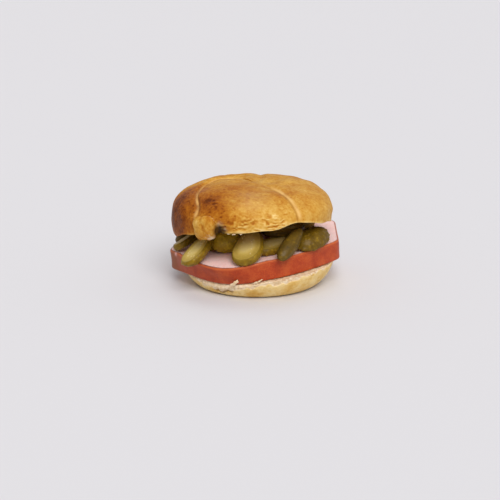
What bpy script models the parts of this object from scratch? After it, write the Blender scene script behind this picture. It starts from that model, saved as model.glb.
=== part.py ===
"""Filled star roll: a halved roll holding a thick slice of turkey leberkase and sliced gherkins.

The roll rests on its heel at z = 0 and opens towards -Y. +X is to the right of someone who faces
the open side. Lengths are written in millimetres times MM, and angles in degrees, counted round
+Z from +X.
"""

import math

import bpy
import numpy as np
from mathutils import Matrix, Vector

MM = 0.001

# Crown: a flattened dome over the roll's widest line, with a flank down to the cut rim.
# The rim tilts up to the front and to the right, and each lip bulge is a rise, angle and spread
CROWN_CENTRE = (-2.4 * MM, 0.2 * MM)
CROWN_RADIUS = 50.1 * MM
WIDEST_Z = 43.5 * MM
DOME_HEIGHT = 19.9 * MM
DOME_ROUNDNESS = 2.7
FLANK_DROP = 30.0 * MM
RIM_MEAN_Z = 36.0 * MM
RIM_PITCH = 8.5 * MM
RIM_ROLL = 3.5 * MM
LIP_BULGES = ((3.2 * MM, -54.0, 18.0), (0.8 * MM, -115.0, 12.0), (-2.6 * MM, -160.0, 12.0))
CUT_RISE = 1.2 * MM

# The five folds of the roll's star, front left first, each with the lobe that follows it:
# seam's angle at the rim, its angle at the star, its depth, the lobe's swell and its columns
FOLDS = (
    (226.0, 110.0, 1.9 * MM, 1.9 * MM, 17),
    (306.0, 312.0, 1.3 * MM, 1.5 * MM, 19),
    (446.0, 436.0, 1.1 * MM, 0.7 * MM, 10),
    (492.0, 450.0, 1.1 * MM, 0.7 * MM, 10),
    (540.0, 463.0, 1.1 * MM, 1.5 * MM, 12),
)
# A seam turns from its star angle to its rim angle between these two reaches
SEAM_TURN = (0.12, 1.0)
SEAM_WIDTH = 2.3 * MM
LOBE_ROOT = 15.0 * MM
LOBE_FULLNESS = 0.8
COLUMN_CROWDING = 0.08
FLATTEN_LOW = 0.85
STAR_OFFSET = (2.0 * MM, 0.4 * MM)
STAR_REACH = 0.7
STAR_DIP = 0.5 * MM
DOME_SHIFT = 0.9 * MM
CRUST_RINGS = 23
CUT_RINGS = 5
LIP_RIPPLE = 0.25 * MM

# Torn tongue of crust that hangs over the lip at the front left, and the notch beside it
TONGUE_CENTRE = (-30.5 * MM, -40.9 * MM, 45.0 * MM)
TONGUE_HALF_WIDTH = 8.7 * MM
TONGUE_HALF_HEIGHT = 7.9 * MM
TONGUE_HALF_DEPTH = 3.4 * MM
TONGUE_TURN = -127.0
TONGUE_CORNERS = 0.09
TONGUE_RINGS = 8
TONGUE_COLUMNS = 16
NOTCH_CENTRE = (-21.3 * MM, -46.6 * MM, 44.0 * MM)
NOTCH_SIZE = (3.6 * MM, 7.0 * MM, 6.4 * MM)
NOTCH_TOP = 0.3

# Heel: a shallow bowl of crust under a cut face that leans with the slice
HEEL_CENTRE = (2.0 * MM, 0.0 * MM)
HEEL_RADIUS = 48.5 * MM
HEEL_FOOT_CENTRE = (0.6 * MM, 0.0 * MM)
HEEL_FOOT_RADIUS = 36.0 * MM
HEEL_WIDEST_Z = 20.0 * MM
HEEL_ROUNDNESS = 1.8
HEEL_COLUMNS = 72
HEEL_FLANK_RINGS = 7
HEEL_FOOT_SHARES = (0.5, 0.9)
HEEL_CUT_SHARES = (0.93, 0.8, 0.6, 0.4, 0.2)
HEEL_GAP = 0.5 * MM
TORN_RIPPLE = 0.5 * MM

# Slice of loaf: a domed front edge, a left side that draws in to the back, and a straight back.
# It leans up to the right
SLICE_LEAN = 0.080
SLICE_SIDE_X = (-53.2 * MM, 53.2 * MM)
SLICE_BACK_X = (-45.0 * MM, 53.2 * MM)
SLICE_TIP = (1.5 * MM, -45.6 * MM)
SLICE_DEPTHS = (42.0 * MM, 34.5 * MM)
SLICE_CURVES = (2.0, 1.68)
SLICE_FRONT_POINTS = 49
SLICE_BACK_Y = 42.0 * MM
SLICE_BACK_CORNER = 9.0 * MM
SLICE_MIDDLE = (0.0, 2.0 * MM)
SLICE_THICKNESS = 12.2 * MM
SLICE_EDGE = 0.9 * MM
SLICE_BOTTOM_Z = 12.6 * MM
SLICE_COLUMNS = 76
SLICE_RINGS = 6
# It hangs down towards its front left from this far out
DROOP_DIRECTION = -120.0
DROOP_START = 33.5 * MM
DROOP_RATE = 0.020 / MM

# Gherkin slices, cut lengthwise, in millimetres and degrees: the middle, then the length, width,
# height of the edge and of the domed skin under the cut face, then the heading and rise of the
# long axis and the roll about it
GHERKINS = {
    "gherkin_1": ((-40.9, -3.8, 27.9), (25.0, 12.0, 4.0, 0.0), (46.0, 17.0, -24.0)),
    "gherkin_2": ((-35.4, -29.2, 28.1), (26.5, 15.0, 3.0, 4.2), (54.0, 30.0, -16.0)),
    "gherkin_3": ((-26.5, -5.0, 28.9), (25.0, 10.6, 4.0, 0.0), (80.0, 16.0, 4.0)),
    "gherkin_4": ((-16.3, -19.8, 31.0), (20.5, 13.0, 3.0, 5.0), (4.0, 0.0, -112.0)),
    "gherkin_5": ((-4.1, -35.6, 31.3), (30.0, 18.0, 4.2, 0.0), (80.0, 23.0, -14.0)),
    "gherkin_6": ((12.6, -24.6, 29.8), (30.0, 13.6, 4.2, 0.0), (40.0, 4.0, 9.0)),
    "gherkin_7": ((17.7, -12.2, 36.3), (26.0, 13.0, 3.4, 0.0), (20.0, 3.0, 10.0)),
    "gherkin_8": ((21.4, -36.3, 33.5), (27.0, 8.6, 3.0, 3.0), (58.0, 28.0, -150.0)),
    "gherkin_9": ((34.9, -20.8, 31.9), (26.5, 16.0, 3.0, 5.4), (48.0, 8.0, -166.0)),
    "gherkin_10": ((-20.6, 24.3, 26.2), (36.0, 17.0, 4.4, 0.0), (164.0, -4.0, 0.0)),
    "gherkin_11": ((20.6, 23.7, 29.5), (36.0, 18.0, 4.6, 0.0), (15.0, 4.0, 0.0)),
    "gherkin_12": ((-42.3, 13.3, 24.2), (22.0, 12.0, 3.0, 4.0), (66.0, 2.0, 176.0)),
}
GHERKIN_ROUNDNESS = 2.25
GHERKIN_COLUMNS = 18
GHERKIN_BULGE = 0.7 * MM
GHERKIN_TAPER = 0.16
GHERKIN_BEVEL = 0.45 * MM
GHERKIN_DOME_SHARES = (0.8, 0.5)

SHARP_ANGLE = 40.0


def clear_scene():
    for old in list(bpy.data.objects):
        bpy.data.objects.remove(old)


def finish_of(name, colour, roughness):
    material = bpy.data.materials.new(name)
    material.use_nodes = True
    shader = material.node_tree.nodes["Principled BSDF"]
    shader.inputs["Base Color"].default_value = (*colour, 1.0)
    shader.inputs["Roughness"].default_value = roughness
    shader.inputs["Metallic"].default_value = 0.0
    return material


def wrapped(degrees):
    """The same direction as an angle from -180 to 180."""
    return (degrees + 180.0) % 360.0 - 180.0


def superellipse(angle, roundness):
    """Point of a unit superellipse at an angle in radians."""
    power = 2.0 / roundness
    cos, sin = math.cos(angle), math.sin(angle)
    return math.copysign(abs(cos) ** power, cos), math.copysign(abs(sin) ** power, sin)


def closed_shell(rings, first_pole, last_pole):
    """Points and faces of a closed body through rings of equal length between two poles."""
    count, around = len(rings), len(rings[0])
    points = [first_pole, *np.concatenate(rings), last_pole]
    last = len(points) - 1
    faces = []
    for i in range(around):
        j = (i + 1) % around
        faces.append((0, 1 + i, 1 + j))
        for ring in range(count - 1):
            a, b = 1 + ring * around, 1 + (ring + 1) * around
            faces.append((a + i, b + i, b + j, a + j))
        base = 1 + (count - 1) * around
        faces.append((last, base + j, base + i))
    return points, faces


def add_body(name, points, faces, material, parent):
    mesh = bpy.data.meshes.new(name)
    mesh.from_pydata([tuple(float(c) for c in p) for p in points], [], faces)
    mesh.validate()
    mesh.materials.append(material)
    mesh.shade_smooth()
    mesh.set_sharp_from_angle(angle=math.radians(SHARP_ANGLE))
    body = bpy.data.objects.new(name, mesh)
    bpy.context.scene.collection.objects.link(body)
    body.parent = parent
    return body


def rim_height(angle):
    """Height of the crown's cut rim at an angle."""
    turn = math.radians(angle)
    height = RIM_MEAN_Z - RIM_PITCH * math.sin(turn) + RIM_ROLL * math.cos(turn)
    for rise, middle, spread in LIP_BULGES:
        height += rise * math.exp(-((wrapped(angle - middle) / spread) ** 2))
    return height + LIP_RIPPLE * (math.sin(11.0 * turn) + math.sin(17.0 * turn + 1.0))


def seam_angle(fold, reach):
    """Angle of a fold's seam at a reach from the star, 0, to the widest line, 1."""
    first, last = SEAM_TURN
    share = min(1.0, max(0.0, (reach - first) / (last - first)))
    return fold[1] + (fold[0] - fold[1]) * share * share * (3.0 - 2.0 * share)


def crown_columns():
    """(fold before, fold after, share of the lobe between them) for each column of the crown."""
    columns = []
    again = (FOLDS[0][0] + 360.0, FOLDS[0][1] + 360.0, *FOLDS[0][2:])
    for before, after in zip(FOLDS, (*FOLDS[1:], again)):
        count = before[4]
        for step in range(count):
            even = step / count
            crowding = COLUMN_CROWDING * math.sin(2.0 * math.pi * even)
            columns.append((before, after, even - crowding))
    return columns


def rim_polar(angle):
    """How far round from the star the cut rim is: 90 at the widest line and more below it."""
    rise = rim_height(angle) - WIDEST_Z
    if rise > 0.0:
        return math.degrees(math.acos((rise / DOME_HEIGHT) ** (DOME_ROUNDNESS / 2.0)))
    return 90.0 + math.degrees(math.asin((-rise / FLANK_DROP) ** (DOME_ROUNDNESS / 2.0)))


def lobe_relief(column, width, reach, polar):
    """Height of a column's lobe over the plain dome: a swell, with a crease along each seam."""
    before, after, place = column
    nearest = min(place, 1.0 - place) * width
    swell = before[3] * math.sin(math.pi * place) ** LOBE_FULLNESS
    depth = before[2] if place < 0.5 else after[2]
    crease = depth * math.exp(-((nearest / SEAM_WIDTH) ** 2))
    room = min(1.0, width / LOBE_ROOT)
    low = 1.0 - FLATTEN_LOW * min(1.0, polar / 90.0) ** 4
    return (swell - crease) * room * low * star_fade(reach)


def star_fade(reach):
    return math.sin(min(1.0, reach / STAR_REACH) * math.pi / 2.0)


def crown_point(polar, column):
    """Point of the crust, from the star at polar 0 to the widest line at 90 and on to the rim."""
    before, after, place = column
    up, reach = superellipse(math.radians(polar), DOME_ROUNDNESS)
    height = up * (DOME_HEIGHT if up > 0.0 else FLANK_DROP)
    inner = min(1.0, reach) if polar < 90.0 else 1.0
    start, end = seam_angle(before, inner), seam_angle(after, inner)
    turn = math.radians(start + (end - start) * place)
    width = CROWN_RADIUS * reach * math.radians(end - start)
    relief = lobe_relief(column, width, reach, polar)
    outward = math.sin(math.radians(polar)) ** 3
    radius = CROWN_RADIUS * reach + relief * outward
    slide = DOME_SHIFT * max(0.0, height) / DOME_HEIGHT
    dip = STAR_DIP * (1.0 - star_fade(reach))
    return (
        CROWN_CENTRE[0] + slide + STAR_OFFSET[0] * (1.0 - inner) + radius * math.cos(turn),
        CROWN_CENTRE[1] + STAR_OFFSET[1] * (1.0 - inner) + radius * math.sin(turn),
        WIDEST_Z + height + relief * (1.0 - outward) - dip,
    )


def crown_rings(columns):
    """Rings of the crust from the star down to the cut rim."""
    rims = []
    for before, after, place in columns:
        rims.append(rim_polar(before[0] + (after[0] - before[0]) * place))
    rings = []
    for step in range(1, CRUST_RINGS + 1):
        share = step / CRUST_RINGS
        ring = [crown_point(rim * share, column) for rim, column in zip(rims, columns)]
        rings.append(np.array(ring))
    return rings


def cut_height(x, y):
    """Height of the crown's cut face, which hollows a little inside the rim."""
    across = np.array([x - CROWN_CENTRE[0], y - CROWN_CENTRE[1]])
    reach = min(1.0, float(np.hypot(*across)) / CROWN_RADIUS)
    angle = math.degrees(math.atan2(across[1], across[0]))
    level = RIM_MEAN_Z + (rim_height(angle) - RIM_MEAN_Z) * reach
    return float(level + CUT_RISE * math.cos(reach * math.pi / 2.0) ** 0.7)


def face_rings(rim, centre, shares, height):
    """Rings of a cut face inside a rim, at shares of the way out from its centre."""
    rings = []
    for share in shares:
        ring = []
        for x, y, _z in rim:
            px = centre[0] + (x - centre[0]) * share
            py = centre[1] + (y - centre[1]) * share
            ring.append((px, py, height(px, py)))
        rings.append(np.array(ring))
    return rings


def tongue_shell():
    """Rounded, four-cornered lump of crust that faces along +X."""
    rings = []
    for step in range(1, TONGUE_RINGS):
        polar = math.pi * step / TONGUE_RINGS
        ring = []
        for turn in np.arange(TONGUE_COLUMNS) * 2.0 * math.pi / TONGUE_COLUMNS:
            corner = 1.0 - TONGUE_CORNERS * math.cos(4.0 * turn - 0.9) * math.sin(polar)
            reach = math.sin(polar) ** 0.8 * corner
            along = TONGUE_HALF_WIDTH * reach * math.cos(turn)
            up = TONGUE_HALF_HEIGHT * reach * math.sin(turn)
            ring.append((TONGUE_HALF_DEPTH * math.cos(polar), along, up))
        rings.append(np.array(ring))
    return closed_shell(rings, (TONGUE_HALF_DEPTH, 0.0, 0.0), (-TONGUE_HALF_DEPTH, 0.0, 0.0))


def notch_shell():
    """Wedge that is narrow at its top."""
    half_x, half_y, half_z = (side / 2.0 for side in NOTCH_SIZE)
    points = []
    for z, spread in ((-half_z, 1.0), (half_z, NOTCH_TOP)):
        for x, y in ((-half_x, -half_y), (half_x, -half_y), (half_x, half_y), (-half_x, half_y)):
            points.append((x * spread, y, z))
    faces = [(0, 3, 2, 1), (4, 5, 6, 7)]
    faces += [(i, (i + 1) % 4, (i + 1) % 4 + 4, i + 4) for i in range(4)]
    return points, faces


def combine(body, other, operation):
    """Joins the other mesh to the body, or cuts it out, and removes the other."""
    boolean = body.modifiers.new("fused", "BOOLEAN")
    boolean.operation = operation
    boolean.solver = "EXACT"
    boolean.object = other
    graph = bpy.context.evaluated_depsgraph_get()
    mesh = bpy.data.meshes.new_from_object(body.evaluated_get(graph))
    body.modifiers.remove(boolean)
    body.data = mesh
    bpy.data.objects.remove(other)


def build_crown(material, parent):
    columns = crown_columns()
    rings = crown_rings(columns)
    shares = [1.0 - step / CUT_RINGS for step in range(1, CUT_RINGS)]
    rings += face_rings(rings[-1], CROWN_CENTRE, shares, cut_height)
    star = np.mean([crown_point(0.01, column) for column in columns], axis=0)
    middle = (*CROWN_CENTRE, cut_height(*CROWN_CENTRE))
    crown = add_body("crown", *closed_shell(rings, star, middle), material, parent)

    tongue = add_body("tongue_lump", *tongue_shell(), material, None)
    turn = Matrix.Rotation(math.radians(TONGUE_TURN), 4, "Z")
    tongue.data.transform(Matrix.Translation(TONGUE_CENTRE) @ turn)
    combine(crown, tongue, "UNION")

    notch = add_body("notch_cutter", *notch_shell(), material, None)
    notch.data.transform(Matrix.Translation(NOTCH_CENTRE))
    combine(crown, notch, "DIFFERENCE")
    return crown


def slice_drop(x, y):
    """How far the slice hangs down towards its front left."""
    turn = math.radians(DROOP_DIRECTION)
    along = x * math.cos(turn) + y * math.sin(turn) - DROOP_START
    return DROOP_RATE * max(0.0, along) ** 2


def slice_bottom(x, y):
    return SLICE_BOTTOM_Z + SLICE_LEAN * x - slice_drop(x, y)


def heel_cut(x, y):
    """Height of the heel's cut face: under the slice, and torn a little outside it."""
    angle = math.atan2(y, x)
    reach = math.hypot(x, y) / HEEL_RADIUS
    torn = math.sin(13.0 * angle) * math.sin(29.0 * angle + 1.0)
    return slice_bottom(x, y) - HEEL_GAP - TORN_RIPPLE * (1.0 + torn) / 2.0 * reach**8


def build_heel(material, parent):
    turns = np.arange(HEEL_COLUMNS) * 2.0 * math.pi / HEEL_COLUMNS
    around = np.stack([np.cos(turns), np.sin(turns)], axis=1)
    foot = HEEL_FOOT_CENTRE + around * HEEL_FOOT_RADIUS
    widest = HEEL_CENTRE + around * HEEL_RADIUS
    rings = []
    for share in HEEL_FOOT_SHARES:
        flat = HEEL_FOOT_CENTRE + around * HEEL_FOOT_RADIUS * share
        rings.append(np.column_stack([flat, np.zeros(HEEL_COLUMNS)]))
    for step in range(HEEL_FLANK_RINGS + 1):
        climb = 1.0 - math.cos(step / HEEL_FLANK_RINGS * math.pi / 2.0)
        ring = []
        for low, high in zip(foot, widest):
            z = heel_cut(*high) * climb
            fall = 1.0 - min(z, HEEL_WIDEST_Z) / HEEL_WIDEST_Z
            bulge = (1.0 - fall**HEEL_ROUNDNESS) ** (1.0 / HEEL_ROUNDNESS)
            ring.append((*(low + (high - low) * bulge), z))
        rings.append(np.array(ring))
    rings += face_rings(rings[-1], HEEL_CENTRE, HEEL_CUT_SHARES, heel_cut)
    middle = (*HEEL_CENTRE, heel_cut(*HEEL_CENTRE))
    shell = closed_shell(rings[::-1], middle, (*HEEL_FOOT_CENTRE, 0.0))
    return add_body("heel", *shell, material, parent)


def evenly(outline, count):
    """The closed outline again, as the given number of points at equal steps, its corners eased."""
    closed = np.vstack([outline, outline[:1]])
    length = np.linalg.norm(np.diff(closed, axis=0), axis=1)
    stations = np.concatenate([[0.0], np.cumsum(length)])
    even = np.linspace(0.0, stations[-1], count, endpoint=False)
    points = np.column_stack([np.interp(even, stations, closed[:, i]) for i in (0, 1)])
    return 0.5 * points + 0.25 * (np.roll(points, 1, axis=0) + np.roll(points, -1, axis=0))


def slice_outline():
    """Outline of the loaf slice, anticlockwise from the front left."""
    left, right = SLICE_SIDE_X
    points = []
    for x in np.linspace(left, right, SLICE_FRONT_POINTS):
        side = 0 if x < SLICE_TIP[0] else 1
        reach = (x - SLICE_TIP[0]) / (SLICE_SIDE_X[side] - SLICE_TIP[0])
        points.append((x, SLICE_TIP[1] + SLICE_DEPTHS[side] * reach ** SLICE_CURVES[side]))
    corner = SLICE_BACK_CORNER
    back_left, back_right = SLICE_BACK_X
    for middle, start in ((back_right - corner, 0.0), (back_left + corner, math.pi / 2.0)):
        for turn in np.linspace(start, start + math.pi / 2.0, 6):
            y = SLICE_BACK_Y - corner + corner * math.sin(turn)
            points.append((middle + corner * math.cos(turn), y))
    return evenly(np.array(points), SLICE_COLUMNS)


def slice_point(x, y, lift):
    """Point at a lift above the slice's underside, square to that face."""
    step = 0.5 * MM
    slope_x = (slice_bottom(x + step, y) - slice_bottom(x - step, y)) / (2.0 * step)
    slope_y = (slice_bottom(x, y + step) - slice_bottom(x, y - step)) / (2.0 * step)
    up = Vector((-slope_x, -slope_y, 1.0)).normalized()
    return Vector((x, y, slice_bottom(x, y))) + up * lift


def slice_ring(outline, share, inset, lift):
    arms = outline - np.array(SLICE_MIDDLE)
    reach = np.linalg.norm(arms, axis=1, keepdims=True)
    flat = SLICE_MIDDLE + arms * (share - inset / reach)
    return np.array([slice_point(x, y, lift) for x, y in flat])


def build_slice(material, parent):
    outline = slice_outline()
    top = SLICE_THICKNESS
    shares = [step / SLICE_RINGS for step in range(1, SLICE_RINGS)]
    rings = [slice_ring(outline, share, 0.0, top) for share in shares]
    for inset, lift in (
        (SLICE_EDGE, top),
        (0.0, top - SLICE_EDGE),
        (0.0, SLICE_EDGE),
        (SLICE_EDGE, 0.0),
    ):
        rings.append(slice_ring(outline, 1.0, inset, lift))
    rings += [slice_ring(outline, share, 0.0, 0.0) for share in shares[::-1]]
    shell = closed_shell(rings, slice_point(*SLICE_MIDDLE, top), slice_point(*SLICE_MIDDLE, 0.0))
    return add_body("leberkase_slice", *shell, material, parent)


def gherkin_shell(length, width, edge, dome):
    """Lengthwise slice of a gherkin: a flat cut face above, the skin round its edge and below."""
    outline = []
    for turn in np.arange(GHERKIN_COLUMNS) * 2.0 * math.pi / GHERKIN_COLUMNS:
        along, across = superellipse(turn, GHERKIN_ROUNDNESS)
        narrow = 1.0 - GHERKIN_TAPER * along
        outline.append((length / 2.0 * along, width / 2.0 * across * narrow, 0.0))
    outline = np.array(outline)
    reach = np.linalg.norm(outline, axis=1, keepdims=True)

    def ring(share, spread, z):
        flat = outline * (share + spread / reach)
        flat[:, 2] = z
        return flat

    half = edge / 2.0
    rings = [
        ring(0.5, 0.0, half),
        ring(1.0, -GHERKIN_BEVEL, half),
        ring(1.0, 0.0, half - GHERKIN_BEVEL),
        ring(1.0, GHERKIN_BULGE, 0.0),
        ring(1.0, 0.0, -half),
    ]
    for share in GHERKIN_DOME_SHARES:
        rings.append(ring(share, 0.0, -half - dome * (1.0 - share**2.2) ** 0.6))
    return closed_shell(rings, (0.0, 0.0, half), (0.0, 0.0, -half - dome))


def build_gherkin(name, material, parent):
    place, size, pose = GHERKINS[name]
    body = add_body(name, *gherkin_shell(*(value * MM for value in size)), material, parent)
    heading, rise, roll = (math.radians(angle) for angle in pose)
    turn = Matrix.Rotation(heading, 4, "Z") @ Matrix.Rotation(-rise, 4, "Y")
    turn = turn @ Matrix.Rotation(roll, 4, "X")
    body.matrix_world = Matrix.Translation(Vector(place) * MM) @ turn
    return body


def main():
    clear_scene()
    crust = finish_of("crust", (0.55, 0.27, 0.07), 0.5)
    pale_crust = finish_of("pale_crust", (0.75, 0.52, 0.22), 0.6)
    meat = finish_of("leberkase", (0.65, 0.25, 0.2), 0.4)
    skin = finish_of("gherkin", (0.28, 0.27, 0.07), 0.35)
    roll = bpy.data.objects.new("roll", None)
    bpy.context.scene.collection.objects.link(roll)
    build_heel(pale_crust, roll)
    build_slice(meat, roll)
    for name in GHERKINS:
        build_gherkin(name, skin, roll)
    build_crown(crust, roll)


main()
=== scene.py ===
import math

import bpy
import numpy as np
from mathutils import Matrix, Vector
from mathutils.kdtree import KDTree


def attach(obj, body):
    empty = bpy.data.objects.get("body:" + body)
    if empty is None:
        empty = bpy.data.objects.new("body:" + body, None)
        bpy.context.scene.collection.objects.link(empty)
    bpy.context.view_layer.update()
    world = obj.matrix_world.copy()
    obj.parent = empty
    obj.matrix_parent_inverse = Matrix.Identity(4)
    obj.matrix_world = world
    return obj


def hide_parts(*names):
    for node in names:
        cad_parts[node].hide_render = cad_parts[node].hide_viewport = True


# Looks of a filled star roll with leberkase and gherkins, in metres, open side towards -Y.
# Angles are in degrees, counted round +Z from +X.
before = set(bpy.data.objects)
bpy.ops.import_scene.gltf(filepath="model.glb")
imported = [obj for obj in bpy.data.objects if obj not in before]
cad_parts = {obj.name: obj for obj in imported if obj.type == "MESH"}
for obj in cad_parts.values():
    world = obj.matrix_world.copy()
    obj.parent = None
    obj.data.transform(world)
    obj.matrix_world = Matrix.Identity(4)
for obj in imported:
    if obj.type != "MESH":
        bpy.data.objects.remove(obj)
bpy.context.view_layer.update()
mm = 0.001
body = "root"


# Shared shaping tools

def clipped(values):
    return np.clip(values, 0.0, 1.0)


def smooth(value, low, high):
    share = clipped((value - low) / (high - low))
    return share * share * (3.0 - 2.0 * share)


def wrapped(degrees):
    return (degrees + 180.0) % 360.0 - 180.0


def hump(value, middle, spread):
    return np.exp(-(((value - middle) / spread) ** 2))


def turnsRound(count):
    # Even angles once round, in radians
    return np.arange(count) * math.tau / count


def evenSteps(count):
    # Even shares between 0 and 1, without the two ends
    return np.arange(1, count) / count


def polarSteps(count):
    # Polar angles of the rings between two poles
    return math.pi * np.arange(1, count)[:, None] / count


def waves(angle, parts):
    # Waves round a rim, each given as how many there are, their phase and their share
    return sum(share * np.sin(count * angle + phase) for count, phase, share in parts)


def superellipse(angle, roundness):
    power = 2.0 / roundness
    cos, sin = np.cos(angle), np.sin(angle)
    return np.sign(cos) * np.abs(cos) ** power, np.sign(sin) * np.abs(sin) ** power


# How many waves make a swell, and the least and most of them in its own size
swellWaves = 16
swellRates = (0.6, 1.5)


def swell(points, size, seed):
    # Soft uneven swell of about this size, mostly within -1 to 1: waves in random directions
    draw = np.random.default_rng(seed)
    total = np.zeros(points.shape[:-1])
    for _ in range(swellWaves):
        heading = draw.normal(size=3)
        heading *= draw.uniform(*swellRates) * math.tau / (size * np.linalg.norm(heading))
        total += np.sin(points @ heading + draw.uniform(0.0, math.tau))
    return total / math.sqrt(swellWaves)


def patchyShare(points, size, seed, looks):
    # Uneven share of a strip or a crack along its fold
    mean, swing, least, most = looks
    return np.clip(mean + swing * swell(points, size, seed), least, most)


def spotted(points, spots):
    # Sum of soft spots, each given as its middle, radius and amount
    total = np.zeros(points.shape[:-1])
    for middle, radius, amount in spots:
        off = np.linalg.norm(points - np.array(middle) * mm, axis=-1)
        total += amount * np.exp(-((off / (radius * mm)) ** 2))
    return total


def shellOf(rings, firstPole, lastPole):
    # Closed body through rings of points, from one pole to the other
    count, around = rings.shape[:2]
    points = np.vstack([firstPole, rings.reshape(-1, 3), lastPole])
    here = np.arange(around)
    after = np.roll(here, -1)
    pairs = list(zip(here.tolist(), after.tolist()))
    faces = [(0, 1 + i, 1 + j) for i, j in pairs]
    for ring in range(count - 1):
        low, high = 1 + ring * around, 1 + (ring + 1) * around
        quads = np.stack([low + here, high + here, high + after, low + after], axis=1)
        faces += quads.tolist()
    last = len(points) - 1
    faces += [(last, last - around + j, last - around + i) for i, j in pairs]
    return points, faces


def withPoles(values, firstPole, lastPole):
    return np.concatenate([[firstPole], np.asarray(values).ravel(), [lastPole]])


def newObject(name, data):
    thing = bpy.data.objects.new(name, data)
    bpy.context.scene.collection.objects.link(thing)
    return thing


def newPiece(name, points, faces, layers):
    mesh = bpy.data.meshes.new(name)
    mesh.from_pydata(points.tolist(), [], faces)
    piece = newObject(name, mesh)
    setLayers(piece, layers)
    mesh.shade_smooth()
    return piece


def setLayers(piece, layers):
    for label, values in layers.items():
        known = piece.data.attributes.get(label)
        layer = known or piece.data.attributes.new(label, "FLOAT", "POINT")
        layer.data.foreach_set("value", np.ascontiguousarray(values, dtype=np.float32))


def pointsOf(piece):
    flat = np.zeros(len(piece.data.vertices) * 3)
    piece.data.vertices.foreach_get("co", flat)
    return flat.reshape(-1, 3)


def settle(piece):
    # The piece's modifiers become its plain mesh
    graph = bpy.context.evaluated_depsgraph_get()
    ready = piece.evaluated_get(graph)
    mesh = bpy.data.meshes.new_from_object(ready, preserve_all_data_layers=True, depsgraph=graph)
    piece.modifiers.clear()
    piece.data = mesh


def combine(piece, other, operation):
    boolean = piece.modifiers.new(operation.lower(), "BOOLEAN")
    boolean.operation = operation
    boolean.solver = "EXACT"
    boolean.object = other
    settle(piece)
    bpy.data.objects.remove(other)


def shown(piece, slot, *nodes):
    # Hands a finished piece to the frame
    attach(piece, body)
    if nodes:
        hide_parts(*nodes)
    triangles = sum(len(face.vertices) - 2 for face in piece.data.polygons)
    print(f"{piece.name}: {triangles} triangles")


# Node tree tools, for geometry and shader trees alike

def addNode(tree, kind, inputs=None, **settings):
    node = tree.nodes.new(kind)
    for key, value in settings.items():
        setattr(node, key, value)
    for socket, value in (inputs or {}).items():
        if isinstance(value, bpy.types.NodeSocket):
            tree.links.new(value, node.inputs[socket])
        else:
            node.inputs[socket].default_value = value
    return node


def chained(tree, operation, *values, clamp=False):
    # One math node for each further value, of which only the last clamps
    result = values[0]
    for value in values[1:]:
        node = addNode(tree, "ShaderNodeMath", {0: result, 1: value}, operation=operation)
        result = node.outputs[0]
    node.use_clamp = clamp
    return result


def plus(tree, *values, clamp=False):
    return chained(tree, "ADD", *values, clamp=clamp)


def minus(tree, *values, clamp=False):
    return chained(tree, "SUBTRACT", *values, clamp=clamp)


def times(tree, *values, clamp=False):
    return chained(tree, "MULTIPLY", *values, clamp=clamp)


def blended(tree, parts, shares, clamp=False):
    # Sum of the parts, each taken by its share
    return plus(tree, *(times(tree, part, share) for part, share in zip(parts, shares)), clamp=clamp)


def centred(tree, value):
    # A factor of 0 to 1 as a swing of half a unit each way
    return minus(tree, value, 0.5)


def remap(tree, value, low, high):
    # A soft step from 0 at the low edge to 1 at the high one
    inputs = {0: value, 1: low, 2: high}
    return addNode(tree, "ShaderNodeMapRange", inputs, interpolation_type="SMOOTHSTEP").outputs[0]


def newShapeTree(name, sockets):
    tree = bpy.data.node_groups.new(name, "GeometryNodeTree")
    tree.interface.new_socket("Geometry", in_out="INPUT", socket_type="NodeSocketGeometry")
    for label, kind, value in sockets:
        socket = tree.interface.new_socket(label, in_out="INPUT", socket_type="NodeSocket" + kind)
        socket.default_value = value
    tree.interface.new_socket("Material", in_out="INPUT", socket_type="NodeSocketMaterial")
    tree.interface.new_socket("Geometry", in_out="OUTPUT", socket_type="NodeSocketGeometry")
    return tree, addNode(tree, "NodeGroupInput").outputs


def closeShapeTree(tree, given, geometry):
    plain = addNode(tree, "GeometryNodeRealizeInstances", {0: geometry}).outputs[0]
    painted = addNode(tree, "GeometryNodeSetMaterial", {"Geometry": plain, "Material": given["Material"]})
    addNode(tree, "NodeGroupOutput", {0: painted.outputs[0]})


def runShapeTree(piece, tree, values):
    modifier = piece.modifiers.new(tree.name, "NODES")
    modifier.node_group = tree
    for item in tree.interface.items_tree:
        if item.item_type == "SOCKET" and item.in_out == "INPUT" and item.name in values:
            modifier[item.identifier] = values[item.name]
    settle(piece)


def layerIn(tree, label):
    node = addNode(tree, "GeometryNodeInputNamedAttribute", {"Name": label}, data_type="FLOAT")
    return node.outputs["Attribute"]


def stored(tree, geometry, label, value):
    inputs = {"Geometry": geometry, "Name": label, "Value": value}
    kind = "GeometryNodeStoreNamedAttribute"
    return addNode(tree, kind, inputs, data_type="FLOAT", domain="POINT").outputs[0]


def noiseIn(tree, place, size, detail, seed):
    # Noise of about this size in metres, as a factor from 0 to 1
    inputs = {"Vector": place, "Scale": size if isinstance(size, bpy.types.NodeSocket) else 1.0 / size}
    inputs.update({"W": seed, "Detail": detail})
    return addNode(tree, "ShaderNodeTexNoise", inputs, noise_dimensions="4D").outputs[0]


def cellSpots(tree, place, scale, edges):
    # A soft round spot in each cell, and the cell's own random colour
    cells = addNode(tree, "ShaderNodeTexVoronoi", {"Vector": place, "Scale": scale}).outputs
    return minus(tree, 1.0, remap(tree, cells["Distance"], *edges)), cells["Color"]


def scaled(tree, vector, factor):
    inputs = {0: vector, "Scale": factor}
    return addNode(tree, "ShaderNodeVectorMath", inputs, operation="SCALE").outputs[0]


def raised(tree, geometry, height):
    # Moves each point out along its own normal
    offset = scaled(tree, addNode(tree, "GeometryNodeInputNormal").outputs[0], height)
    return addNode(tree, "GeometryNodeSetPosition", {"Geometry": geometry, "Offset": offset}).outputs[0]


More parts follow.
